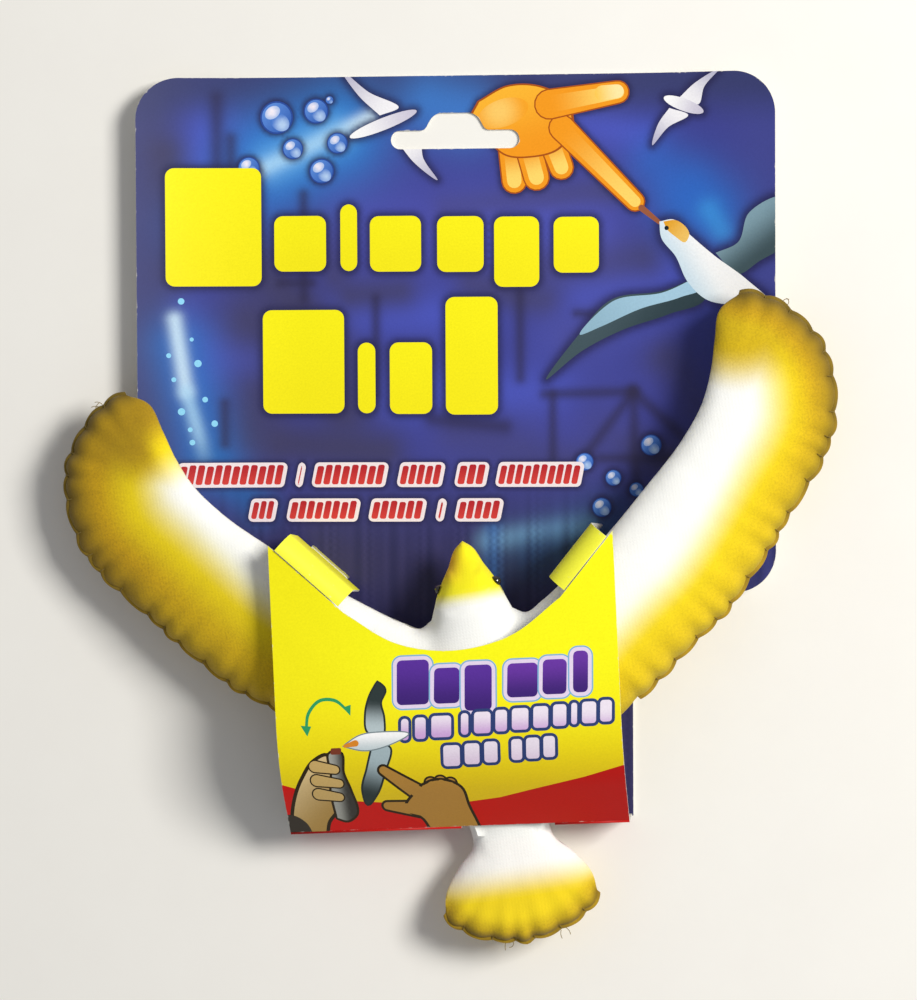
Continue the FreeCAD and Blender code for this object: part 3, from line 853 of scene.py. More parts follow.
@dataclass
class BackCard:
    """The blue back card: header, neck, hang slot and the two slits, curled up at its sides."""

    lowered: float = 2.0
    hump_foot: float = 7.6
    hump_foot_radius: float = 1.6
    hump_shoulder: float = 5.2
    hump_top_radius: float = 3.6
    slit_half_length: float = 6.1
    slit_half_width: float = 0.85
    slit_corner: float = 0.3
    width: float = 158.4
    top: float = 187.0
    corner: float = 10.5
    wide_bottom: float = 59.0
    neck_centre: float = 1.2
    neck_width: float = 85.0
    inner_corner: float = 6.0
    flat_half: float = 38.0
    curl_centre: float = 139.0
    board: float = 0.5
    slot_length: float = 32.0
    slot_height: float = 4.6
    slot_y: float = 171.2
    hump: float = 6.6

    def place(self, points: np.ndarray, offset: float) -> np.ndarray:
        """Lays plan points on the curled board, offset from its middle surface."""
        radius = self.curl_centre - self.board / 2
        over = np.maximum(np.abs(points[:, 0]) - self.flat_half, 0)
        rise = np.sqrt(radius ** 2 - over ** 2)
        x = points[:, 0] - np.sign(points[:, 0]) * over / radius * offset
        y = points[:, 1] - self.lowered
        return np.stack([x, y, self.curl_centre - rise + rise / radius * offset], 1)

    def outline(self) -> np.ndarray:
        """The card's cut outline."""
        half, left = self.width / 2, self.neck_centre - self.neck_width / 2
        right = self.neck_centre + self.neck_width / 2
        wrap = Wrap()
        slope = math.tan(math.radians(wrap.turn))
        foot = [
            (x, (x - wrap.origin[0]) * slope - self.board + self.lowered, 0) for x in (left, right)
        ]
        return rounded([
            *foot, (right, self.wide_bottom, self.inner_corner), (half, self.wide_bottom, self.corner),
            (half, self.top, self.corner), (-half, self.top, self.corner),
            (-half, self.wide_bottom, self.corner), (left, self.wide_bottom, self.inner_corner),
        ])

    def slot(self) -> np.ndarray:
        """The hang slot: round ends and a hump in the middle of its upper side."""
        half, low = self.slot_length / 2, self.slot_y - self.slot_height / 2
        high, radius, top = low + self.slot_height, self.slot_height / 2 - 0.01, self.slot_y + self.hump
        return rounded([
            (-half, low, radius), (half, low, radius), (half, high, radius),
            (self.hump_foot, high, self.hump_foot_radius),
            (self.hump_shoulder, top, self.hump_top_radius),
            (-self.hump_shoulder, top, self.hump_top_radius),
            (-self.hump_foot, high, self.hump_foot_radius), (-half, high, radius),
        ])

    def slits(self) -> list[np.ndarray]:
        """The slits that take the lock tabs, found from the tabs' own places."""
        wrap = Wrap()
        length, width = self.slit_half_length, self.slit_half_width
        loops = []
        for name, side, inner in (
            ("left_lock_tab", -1, wrap.left_inner), ("right_lock_tab", 1, wrap.right_inner),
        ):
            low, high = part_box(name)
            across = inner[0] - side * wrap.half_width
            fold = math.degrees(math.atan((inner[1] - wrap.shoulder) / across))
            middle = (np.array(low[:2]) + np.array(high[:2])) / 2 / MM + (0, self.lowered)
            slit = bar(-length, length, -width, width, self.slit_corner)
            loops.append(turned(slit, fold + wrap.turn, tuple(middle)))
        return loops

    def bright_patches(self) -> list[Stroke]:
        """The clear violet between the dark shapes, and the low glow beside the beak."""
        patches = [
            Stroke(start, end, width, "#4b57c2", 0.75) for start, end, width in [
                ((-62, 176), (-62, 160), 8), ((6, 150), (30, 148), 7), ((-28, 128), (6, 128), 6),
                ((34, 132), (58, 136), 8), ((-60, 118), (-42, 114), 7), ((-14, 108), (24, 108), 7),
                ((24, 178), (46, 172), 6), ((-70, 128), (-66, 112), 5),
            ]
        ]
        return patches + [Stroke((8, 65), (32, 72), 5, "#6b93b8", 0.75)]

    def dark_patches(self) -> list[Stroke]:
        """The blurred dark shapes of far-off buildings."""
        return [
            Stroke(start, end, width, "#403d60", 0.85) for start, end, width in [
                ((-52, 126), (-38, 122), 9), ((-50, 108), (-52, 98), 9), ((-32, 118), (-28, 104), 7),
                ((-44, 96), (-18, 94), 6), ((-60, 150), (-40, 131), 7), ((4, 136), (22, 131), 5),
                ((0, 98), (30, 93), 5.5), ((22, 140), (46, 141), 6), ((28, 122), (36, 126), 5),
                ((52, 116), (58, 106), 6), ((-72, 168), (-70, 140), 5), ((-14, 134), (-26, 133), 5),
                ((-2, 154), (38, 158), 4), ((36, 100), (52, 92), 6), ((-34, 150), (-30, 138), 4),
            ]
        ]

    def glows(self) -> list[Stroke]:
        """The blue light round the bubbles, the pale streaks, and the light low on the card."""
        return [
            Stroke((-24, 150), (30, 148), 12, "#5458bd", 0.5),
            Stroke((-6, 180), (2, 178), 9, "#3d84d8", 0.7),
            Stroke((-46, 166), (-30, 173), 12, "#2a87dc", 0.95),
            Stroke((-54, 160), (-64, 150), 9, "#3260b8", 0.6),
            Stroke((-49.4, 163.9), (-21.3, 176.9), 1.9, "#d4edfd", 0.85),
            Stroke((-46, 165.5), (-30, 173), 4.5, "#7cc2f4", 0.6),
            Stroke((-69, 120), (-62, 92), 8, "#2a6fc0", 0.8),
            Stroke((-70.1, 127), (-67.4, 109), 1.9, "#cfeafb", 0.8),
            Stroke((-67.4, 109), (-63, 93), 1.8, "#a8d4f4", 0.7),
            Stroke((-62, 92), (-50, 80), 5, "#2465ad", 0.7),
            Stroke((59, 156), (63, 153), 9, "#2a6fcc", 0.85),
            Stroke((49.5, 165), (58, 157), 7, "#2f66c4", 0.65),
            Stroke((63, 153), (66, 148), 3, "#3f9be6", 0.6),
            Stroke((68, 130), (70, 112), 9, "#3c46a4", 0.5),
            Stroke((8, 71.5), (33, 75), 3.0, "#7aa9cf", 0.85),
            Stroke((9, 60), (9, 78), 2.2, "#3f74bd", 0.65),
            Stroke((20, 69), (38, 75), 8, "#2c5794", 0.6),
            Stroke((-2, 96), (20, 98), 8, "#45489c", 0.5),
            Stroke((30, 100), (52, 106), 9, "#43479f", 0.6),
            Stroke((26, 122), (44, 130), 8, "#4b52b4", 0.6),
        ]

    def towers(self) -> list[Stroke]:
        """Thin dark uprights and struts, like cranes and girders seen through haze."""
        return [
            Stroke(start, end, width, "#2f2b4c", 0.7) for start, end, width in [
                ((-59.5, 182), (-59.5, 158), 2.2), ((-56, 172), (-56, 150), 1.8),
                ((-38, 158), (-38, 132), 1.5), ((-44, 136), (-36, 136), 1.3),
                ((-20, 132), (-20, 108), 1.4), ((30, 128), (46, 127), 1.3),
                ((22, 108), (44, 108.5), 1.5), ((44, 108.5), (58, 96), 1.7),
                ((44, 108.5), (33, 94), 1.5), ((44, 108.5), (44.5, 88), 1.6),
                ((36, 92), (56, 92), 1.4), ((24, 108), (24, 88), 1.3),
                ((16, 134), (16, 112), 1.5), ((-58, 106), (-58, 96), 1.6),
                ((-6, 102), (12, 100), 2.2),
            ]
        ]

    def ground(self, points: np.ndarray) -> np.ndarray:
        """The background: violet-blue, darker round its edges and low down, with glows."""
        x, y = points.T
        colours = flat("#3e4292")(points)
        for stroke in self.bright_patches():
            colours = stroke.over(colours, points)
        colours = mixed(colours, "#3a3558", 0.85 * (1 - smooth(y, 64, 98)))
        colours = mixed(colours, "#3e4170", 0.85 * smooth(-x, 62, 76))
        colours = mixed(colours, "#474c98", 0.8 * smooth(x, 60, 78))
        colours = mixed(colours, "#393e6c", 0.9 * smooth(y, 172, 185))
        for stroke in self.dark_patches() + self.glows() + self.towers():
            colours = stroke.over(colours, points)
        beams = 0.5 + 0.5 * np.sin(x * 2.3 + 2 * np.sin(x * 0.61)) * np.sin(x * 0.37 + 1)
        return mixed(colours, "#1f2148", 0.6 * beams * (1 - smooth(y, 66, 92)))

    def title(self) -> list[Ink]:
        """Two rows of plain yellow tiles where the product's title would be."""
        tiles = [
            (-72.2, -48.6, 135.2, 164.6), (-45.4, -32.4, 138.8, 152.6), (-28.8, -24.6, 138.8, 155.4),
            (-21.4, -8.6, 138.6, 152.4), (-4.6, 7.0, 138.4, 152.2), (9.6, 20.8, 134.6, 152.0),
            (24.4, 35.6, 138.0, 151.8), (-48.4, -28.0, 103.4, 129.2), (-24.6, -20.2, 103.4, 121.0),
            (-16.6, -6.0, 103.2, 121.0), (-2.6, 10.4, 103.0, 132.2),
        ]
        return [
            Ink(bar(*tile, 2.2), fade("#fdf30e", "#f9ec10", (0, tile[3]), (0, tile[2])), 1.3)
            for tile in tiles
        ]

    def pictures(self) -> list[Ink]:
        """The drawn birds, hand and bubbles, in plain shapes."""
        shapes = gull((-26.3, 172), (-9.5, 178.4), [(-28.6, 189), (-4.4, 161.2)],
                      [(-16.5, 178.2), (-11.5, 170.8)])
        shapes += gull((51.8, 180.9), (61.6, 177.1), [(65.5, 187.5), (48.9, 169.2)],
                       [(58, 180), (55.4, 177.4)])
        for place in [(-44.6, 177.1, 4.1), (-34.7, 178.6, 3.1), (-31.3, 181.3, 1.0), (-40.6, 169.3, 2.6),
                      (-29.4, 170.6, 2.6), (-51.6, 164.7, 2.7), (-33.4, 163.7, 3.1), (31.9, 91.2, 2.2),
                      (39.0, 87.2, 2.0), (48.4, 95.3, 2.6), (44.7, 84.3, 1.8), (36.1, 79.9, 2.4)]:
            shapes += bubble(*place)
        for x, y, radius in [(-68.5, 131.5, 0.8), (-71.6, 118, 0.6), (-66, 122, 0.5), (-64.5, 116, 0.9),
                             (-70.4, 112, 0.6), (-62.8, 107, 0.7), (-68.6, 104, 0.9), (-66.5, 99.5, 0.6),
                             (-60.5, 101, 0.8), (-66.0, 96.3, 0.7)]:
            shapes.append(Ink(ellipse(x, y, radius, radius), flat("#8fd6f7")))
        shapes += self.hand() + self.big_bird()
        return shapes

    def hand(self) -> list[Ink]:
        """An orange hand that points down to the right."""
        tones = ("#fdd769", "#f49a16", "#a8500c")
        rim = tones[2]
        shapes = []
        for start, end, r0, r1 in [
            ((14.0, 168.3), (14.7, 160.8), 3.0, 2.9), ((18.2, 169), (20.2, 161.6), 3.1, 3.0),
            ((23.9, 170.6), (26.4, 164), 3.0, 2.8),
        ]:
            shapes += finger(start, end, r0, r1, *tones)
        palm = [(5.6, 180.6), (13, 184.4), (22, 184), (28, 180.5), (29.5, 174), (26, 168.5), (19, 166.5),
                (12.5, 167), (7.5, 171.5), (3.6, 176)]
        shapes.append(Ink(smooth_loop(palm), flat(rim), 0.9))
        inner = [((x - 16) * 0.955 + 16, (y - 175.5) * 0.955 + 175.5) for x, y in palm]
        shapes.append(Ink(smooth_loop(inner), fade("#f59a16", "#fbb62e", (16, 168), (12, 184))))
        shapes.append(Ink(ellipse(12, 177.6, 6.5, 3.4, 18),
                          round_fade((11, 178), 7, "#fccb66", "#f7a41e")))
        shapes += finger((26.5, 173.8), (44.6, 155.4), 3.0, 2.2, *tones)
        shapes += finger((23.5, 179.6), (40.4, 182.4), 3.5, 2.6, *tones)
        shapes.append(Ink(capsule((36.6, 182.2), (40.2, 182.6), 1.9, 1.7),
                          fade("#fdc64a", "#fee9a6", (34, 182), (41, 183))))
        return shapes

    def big_bird(self) -> list[Ink]:
        """A large white seabird balanced on the fingertip."""
        shapes = [Ink(capsule((46.2, 153.8), (50.6, 150.2), 0.8, 0.5), flat("#9c5a3c"))]
        near = [(61.5, 137.5), (52, 133.5), (38.5, 131.2), (30, 122), (22.4, 111.6), (31, 118.4),
                (41, 123.6), (53, 127.6), (62, 131.5)]
        far = [(64.5, 142.5), (70, 145), (72.6, 152), (80.5, 156), (80.5, 143.5), (75.4, 140.4),
               (70, 137.2)]
        shapes.append(Ink(smooth_loop(near), fade("#40535b", "#2f4148", (40, 130), (48, 122)), 1.6))
        pale = [(60.5, 137), (52, 133.1), (38.9, 130.8), (31, 122.6), (36, 124.6), (46, 129),
                (56, 131.8), (61, 134)]
        shapes.append(Ink(smooth_loop(pale), fade("#a9cfe6", "#8fb4c8", (56, 136), (32, 122))))
        shapes.append(Ink(smooth_loop(far), fade("#86a6b4", "#41555c", (70, 150), (76, 142)), 1.6))
        body = [(50.6, 150.4), (54, 150.9), (58, 147.2), (64, 142), (72, 136), (78.5, 129.4), (70, 129.6),
                (62, 131.2), (57.5, 135.6), (54.6, 141.8), (51, 146.6)]
        shapes.append(Ink(smooth_loop(body), fade("#ffffff", "#cfe4f1", (64, 141), (56, 136)), 1.6))
        crown = [(51.6, 150.4), (54.6, 150.7), (58, 146.9), (57, 145.2), (54.6, 146.6), (52.4, 148.6)]
        shapes.append(Ink(smooth_loop(crown), fade("#e8a422", "#f6c867", (52, 151), (58, 146))))
        shapes.append(Ink(ellipse(52.4, 148.8, 0.55, 0.55), flat("#14222a")))
        return shapes

    def build(self, wardrobe: Wardrobe) -> None:
        """Makes the printed card and dresses it."""
        art = self.pictures() + self.title()
        red, backing = "#b3202a", "#f4e6ea"
        art += words([(-70.6, -43.4), (-40.8, -38.8), (-36.6, -18), (-15.2, -3.8), (-0.8, 7.2),
                      (9.4, 30.8)], 85.0, 91.2, red, backing)
        art += words([(-52.6, -45.8), (-43, -25), (-22.4, -8.4), (-5.6, -3.4), (-0.8, 10.8)],
                     76.4, 82.2, red, backing)
        sheet = PrintedSheet("card_board", self.outline(), [self.slot(), *self.slits()], self.place,
                             self.ground, art, board=self.board)
        piece = sheet.build()
        for finish in (BLUE_BOARD, BOARD_CORE, BOARD_BACK):
            piece.data.materials.append(wardrobe.get(finish))
        settle(piece, Body.CARD, "blue_printed_board", "back_card")


@dataclass
class Wrap:
    """The yellow wrap: front panel, spine halves, shoulder strips and lock tabs."""

    turn: float = 2.5
    origin: tuple[float, float] = (1.5, 0.0)
    half_width: float = 41.9
    board: float = 0.5
    hinge_y: float = -0.25
    hinge_z: float = 13.0
    start_along: float = 0.45
    rise_angle: float = 40.0
    rise_length: float = 13.0
    bend_radius: float = 30.0
    fall_angle: float = 1.5
    shoulder: float = 71.5
    left_inner: tuple[float, float] = (-24.2, 54.5)
    right_inner: tuple[float, float] = (28.5, 56.0)
    dip: tuple[float, float] = (2.3, 44.3)

    def profile(self, v: np.ndarray) -> tuple[np.ndarray, np.ndarray]:
        """Height and slope angle of the panel's middle surface at distances from the crease."""
        rise, fall = math.radians(self.rise_angle), math.radians(self.fall_angle)
        bend_y = self.hinge_y + math.cos(rise) * self.rise_length
        bend_z = self.hinge_z + math.sin(rise) * self.rise_length
        centre_y = bend_y + math.sin(rise) * self.bend_radius
        centre_z = bend_z - math.cos(rise) * self.bend_radius
        end_y = centre_y + math.sin(fall) * self.bend_radius
        end_z = centre_z + math.cos(fall) * self.bend_radius
        on_bend = np.clip(v - centre_y, -self.bend_radius, self.bend_radius)
        height = np.where(v < bend_y, self.hinge_z + (v - self.hinge_y) * math.tan(rise), 0)
        bent = centre_z + np.sqrt(self.bend_radius ** 2 - on_bend ** 2)
        height = np.where((v >= bend_y) & (v < end_y), bent, height)
        height = np.where(v >= end_y, end_z - (v - end_y) * math.tan(fall), height)
        angle = np.where(v < bend_y, rise, -np.arcsin(on_bend / self.bend_radius))
        return height, np.where(v >= end_y, -fall, angle)

    def place(self, points: np.ndarray, offset: float) -> np.ndarray:
        """Lays plan points on the bent panel, offset from its middle surface."""
        height, slope = self.profile(points[:, 1])
        across = np.stack([
            points[:, 0], points[:, 1] - np.sin(slope) * offset, height + np.cos(slope) * offset,
        ], axis=1)
        return turned(across, self.turn, self.origin)

    def outline(self) -> np.ndarray:
        """The panel's cut outline: shoulders, hollow and crease."""
        hollow = smooth_run([
            self.left_inner, (-11.8, 46.6), self.dip, (16.2, 47.4), self.right_inner,
        ], 0.8)
        foot = self.hinge_y + math.cos(math.radians(self.rise_angle)) * self.start_along
        w = self.half_width
        corners = [(-w, foot), (w, foot), (w, self.shoulder)]
        return np.concatenate([np.array(corners), hollow[::-1], [(-w, self.shoulder)]])

    def ground(self, points: np.ndarray) -> np.ndarray:
        """Yellow with painted shade: darker towards the foot, where the panel turns down away from the
        light, and towards the left, away from the key light.
        """
        colours = flat("#fefb10")(points)
        # Painted shade: the yellow darkens towards the crease at the foot and towards the left side, away
        # from the light.
        colours = mixed(colours, "#efcd14", 0.9 * (1 - smooth(points[:, 1], 4, 46)))
        colours = mixed(colours, "#e2bc18", 0.6 * (1 - smooth(points[:, 1], 2, 24)))
        return mixed(colours, "#f6e40f", 0.5 * (1 - smooth(points[:, 0], -40, -6)))

    def art(self) -> list[Ink]:
        """The red foot band, the drawn hands, and tilted blocks in place of the words."""
        band = [(-43, -2), (43, -2), (43, 15.2), (32, 12.2), (19.8, 9.6), (11, 7.6), (2.9, 6.7),
                (-12, 6.8), (-25.9, 8.1), (-35, 10.6), (-43, 13.4)]
        shapes = [Ink(np.array(band, float), fade("#d3120b", "#c4120b", (-20, 0), (43, 8)))]
        shapes += self.try_me_blocks() + self.left_hand() + self.pointing_hand() + self.arrow()
        return shapes

    def try_me_blocks(self) -> list[Ink]:
        """Three rows of outlined blocks: purple, lilac and pale."""
        shapes = []
        foot = "#3d1f74"
        rows = [
            ([(-12.2, -4.4, 31.6, 42.4), (-3.2, 3.0, 31.6, 40.2), (4.2, 10.8, 29.6, 40.6)], "#5a2f9c"),
            ([(14.6, 22.0, 32.4, 40.6), (23.2, 29.0, 32.8, 41.2), (30.6, 34.2, 33.0, 43.0)], "#6a35a4"),
        ]
        for boxes, top in rows:
            for x0, x1, y0, y1 in boxes:
                for grow, paint in [(1.25, flat("#7fb2d6")), (0.9, flat("#e6d6ee")),
                                    (0.0, fade(top, foot, (0, y1), (0, y0)))]:
                    spare = grow - 0.05
                    corner = min(1.2 + grow, (x1 - x0) / 2 + spare, (y1 - y0) / 2 + spare)
                    block = bar(x0 - grow, x1 + grow, y0 - grow, y1 + grow, corner, 0.5)
                    shapes.append(Ink(block, paint))
        for boxes, y0, y1, rise, top in [
            ([(-11.6, -9.8), (-8.2, -5.6), (-4.2, 0.6), (3.0, 4.8), (6.2, 10.2), (11.4, 14.2),
              (15.4, 19.4), (20.6, 24.2), (25.4, 28.6), (29.8, 31.2), (32.4, 35.8), (36.8, 39.6)],
             23.6, 28.8, 0.055, "#cfa6dc"),
            ([(-1.8, 2.2), (3.4, 7.0), (8.2, 11.4), (14.8, 17.4), (18.4, 21.6), (22.6, 25.4)],
             16.2, 21.4, 0.055, "#e4cfe8"),
        ]:
            for x0, x1 in boxes:
                lift = rise * (x0 + 2)
                for grow, paint in [(0.75, flat("#2d3f74")),
                                    (0.0, fade("#efe4f2", top, (0, y1), (0, y0)))]:
                    corner = min(0.8 + grow, (x1 - x0) / 2 + grow - 0.05)
                    block = bar(x0 - grow, x1 + grow, y0 + lift - grow, y1 + lift + grow, corner, 0.3)
                    shapes.append(Ink(block, paint))
        return shapes

    def left_hand(self) -> list[Ink]:
        """A tan hand that holds up a dark bottle, with a small bird balanced on its cap."""
        tan = fade("#ead09a", "#b38f4c", (-40, 19), (-28, 6))
        line = "#2f2410"
        shapes = []
        palm = [(-40.6, -3), (-40.4, 4), (-38.6, 10), (-36.2, 14.6), (-33.0, 18.6), (-30.0, 19.8),
                (-28.6, 17.4), (-29.2, 12), (-29.6, 6), (-32.0, 3.0), (-34.4, -3)]
        cuff = [(-44, -3), (-44, 4.6), (-40.6, 4.8), (-37.4, 2.4), (-36.6, -3)]
        bottle = [(-29.6, 3.6), (-27.2, 2.8), (-25.2, 4.0), (-25.4, 11), (-26.6, 15.4), (-26.9, 20.6),
                  (-29.1, 20.6), (-29.2, 15.4), (-29.9, 11)]
        shapes += outlined(smooth_loop(palm), tan, line, 0.9)
        shapes.append(Ink(smooth_loop(cuff), flat("#3b342c")))
        glass = fade("#a6a79f", "#3c3a35", (-29.4, 12), (-26.0, 12))
        shapes += outlined(smooth_loop(bottle), glass, line, 0.6)
        shapes.append(Ink(bar(-29.2, -26.6, 20.2, 21.8, 0.4, 0.3), flat("#7c3a26")))
        for low, reach in ((16.4, -28.4), (12.8, -27.8), (9.2, -28.2)):
            finger_loop = capsule((-33.2, low + 1.0), (reach, low), 1.4, 1.0)
            shapes += outlined(finger_loop, flat("#cfae6c"), line, 0.35)
        upper = [(-16.6, 37.4), (-18.6, 34.0), (-19.8, 29.6), (-19.4, 25.4), (-16.2, 24.6), (-15.6, 28.6),
                 (-16.2, 32.6), (-15.0, 35.6)]
        lower = [(-18.6, 22.0), (-20.4, 16.4), (-22.2, 10.6), (-21.6, 7.0), (-19.0, 9.8), (-16.6, 15.0),
                 (-14.8, 21.6)]
        feather = fade("#2c3838", "#b9c8cc", (-17.4, 33), (-18.0, 26))
        shapes += outlined(smooth_loop(upper), feather, "#27302f", 0.5)
        feather = fade("#a9bcc2", "#2c3838", (-17.6, 19), (-20.6, 9.4))
        shapes += outlined(smooth_loop(lower), feather, "#27302f", 0.5)
        body = [(-25.8, 22.2), (-21.6, 24.6), (-16, 25.2), (-9.8, 24.6), (-14.6, 22.2), (-20.6, 21.0)]
        white = fade("#ffffff", "#c9d6da", (-18, 25), (-18, 21))
        shapes += outlined(smooth_loop(body), white, "#7d8c92", 0.3)
        shapes.append(Ink(capsule((-25.4, 22.2), (-22.8, 22.8), 0.4, 0.8), flat("#e08a2a")))
        return shapes

    def pointing_hand(self) -> list[Ink]:
        """A tan hand whose first finger reaches for the bird's tail."""
        tan, line = flat("#b8883c"), "#2f2410"
        shapes = []
        palm = [(-7.6, 11.4), (-4.4, 12.6), (-1, 12.2), (1.6, 10.6), (2.8, 6), (4.6, -3), (-5.4, -3),
                (-8.6, 3), (-12, 5.4)]
        for loop in (capsule((-16.6, 15.8), (-8.4, 9.4), 1.0, 2.0),
                     capsule((-16.8, 6.4), (-9, 5.2), 1.0, 2.0)):
            shapes += outlined(loop, tan, line, 0.6)
        for x, y in ((-5.4, 12.2), (-3.0, 12.5), (-0.6, 11.9)):
            shapes += outlined(ellipse(x, y, 1.3, 1.2), tan, line, 0.5)
        shapes += outlined(smooth_loop(palm), tan, line, 0.7)
        shapes.append(Ink(capsule((-16.2, 15.4), (-8.0, 9.2), 0.75, 1.7), tan))
        shapes.append(Ink(capsule((-16.2, 6.3), (-8.4, 5.0), 0.75, 1.7), tan))
        for x, y in ((-5.2, 11.6), (-2.9, 11.9), (-0.7, 11.2)):
            shapes.append(Ink(ellipse(x, y, 1.0, 0.9), tan))
        return shapes

    def arrow(self) -> list[Ink]:
        """A thin curved double arrow that says the bird can be tipped."""
        outer = smooth_run([(-34.9, 26.8), (-34.2, 30.6), (-30.9, 33.9), (-27.0, 33.7), (-24.2, 31.2)], 0.6)
        inner = smooth_run([(-24.7, 30.8), (-27.2, 32.9), (-30.7, 33.1), (-33.5, 30.2), (-34.2, 26.7)], 0.6)
        heads = [np.array([(-35.9, 27.6), (-33.3, 27.3), (-34.4, 24.9)]),
                 np.array([(-25.4, 31.6), (-23.4, 32.2), (-23.6, 29.5)])]
        arc = np.concatenate([outer, inner])
        return [Ink(loop, flat("#2f9e62")) for loop in (arc, *heads)]

    def build(self, wardrobe: Wardrobe) -> None:
        """Makes the printed panel and the small board pieces, and dresses them."""
        sheet = PrintedSheet("front_board", self.outline(), [], self.place, self.ground, self.art(),
                             shade="#c9a80f", board=self.board)
        piece = sheet.build()
        for finish in (YELLOW_BOARD, BOARD_CORE, BOARD_BACK):
            piece.data.materials.append(wardrobe.get(finish))
        settle(piece, Body.WRAP, "yellow_printed_board", "front_panel")
        down = turned(np.array([(0.0, -1.0)]), self.turn, (0.0, 0.0))[0]
        across = turned(np.array([(1.0, 0.0)]), self.turn, (0.0, 0.0))[0]
        # The spines and strips are coloured by height, lighter at the top and darker at the foot, as
        # painted highlight and shade.
        for node in ("left_spine", "right_spine"):
            self.board_piece(node, Body.CARD, down, across, "#c2150e", "#b0150e", wardrobe)
        for side, body, inner in ((-1, Body.LEFT_STRIP, self.left_inner),
                                  (1, Body.RIGHT_STRIP, self.right_inner)):
            fold = np.array([inner]) - np.array([(side * self.half_width, self.shoulder)])
            fold = turned(fold, self.turn, (0.0, 0.0))[0]
            fold /= np.linalg.norm(fold)
            out = np.array([-fold[1], fold[0]]) * -side
            name = "left" if side < 0 else "right"
            for part in ("shoulder_strip", "lock_tab"):
                self.board_piece(f"{name}_{part}", body, out, fold, "#fdfb43", "#f7ef20", wardrobe)

    def board_piece(self, node: str, body: Body, out: np.ndarray, along: np.ndarray, top: str,
                    foot: str, wardrobe: Wardrobe) -> None:
        """Remakes a small board piece from its node, with print, core and back as they face.

        Args:
            node: The CAD node that gives the shape.
            body: The body that it rides on.
            out: The horizontal direction that its print faces.
            along: The horizontal direction of its folds, whose ends are cut.
            top: The colour at its highest point, the lit end of a painted shading by height.
            foot: The colour at its lowest point, the shaded end of that painted shading.
            wardrobe: The materials.
        """
        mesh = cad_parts[node].data.copy()
        mesh.materials.clear()
        work = bmesh.new()
        work.from_mesh(mesh)
        bmesh.ops.remove_doubles(work, verts=work.verts, dist=0.001 * MM)
        bmesh.ops.dissolve_limit(work, angle_limit=math.radians(1), verts=work.verts, edges=work.edges)
        bmesh.ops.triangulate(work, faces=work.faces)
        for face in work.faces:
            outward = face.normal.x * out[0] + face.normal.y * out[1] + max(face.normal.z, 0) * 0.6
            endways = abs(face.normal.x * along[0] + face.normal.y * along[1])
            level = abs(face.normal.z) > 0.98 and face.normal.z < 0
            face.material_index = 1 if endways > 0.7 or level else (0 if outward > 0.2 else 2)
            face.smooth = True
        work.to_mesh(mesh)
        work.free()
        for key in list(mesh.attributes.keys()):
            if key == "sharp_face":
                mesh.attributes.remove(mesh.attributes[key])
        mesh.set_sharp_from_angle(angle=math.radians(40))
        piece = bpy.data.objects.new(node + "_board", mesh)
        bpy.context.scene.collection.objects.link(piece)
        # The colour runs by height from top to foot: a painted highlight up on the bend and painted shade
        # low down, over the plain print.
        heights = np.array([mesh.vertices[loop.vertex_index].co.z for loop in mesh.loops])
        share = smooth(heights, heights.min(), heights.max() + 1e-6)
        set_colours(mesh, "ink", "CORNER", mixed(flat(foot)(heights[:, None]), top, share))
        set_values(mesh, "edge", np.full(len(mesh.vertices), 0.75))
        for finish in (YELLOW_BOARD, BOARD_CORE, BOARD_BACK):
            mesh.materials.append(wardrobe.get(finish))
        settle(piece, body, "yellow_printed_board", node)


def outlined(loop: np.ndarray, paint: Paint, line: str, width: float) -> list[Ink]:
    """A drawn shape with a line round it."""
    before, after = np.roll(loop, 1, axis=0), np.roll(loop, -1, axis=0)
    tangent = after - before
    normal = np.stack([tangent[:, 1], -tangent[:, 0]], axis=1)
    normal /= np.maximum(np.linalg.norm(normal, axis=1), 1e-6)[:, None]
    area = float(np.sum(loop[:, 0] * after[:, 1] - after[:, 0] * loop[:, 1]))
    return [Ink(loop + normal * width * (1 if area > 0 else -1), flat(line)), Ink(loop, paint)]


# ---- Bird ----

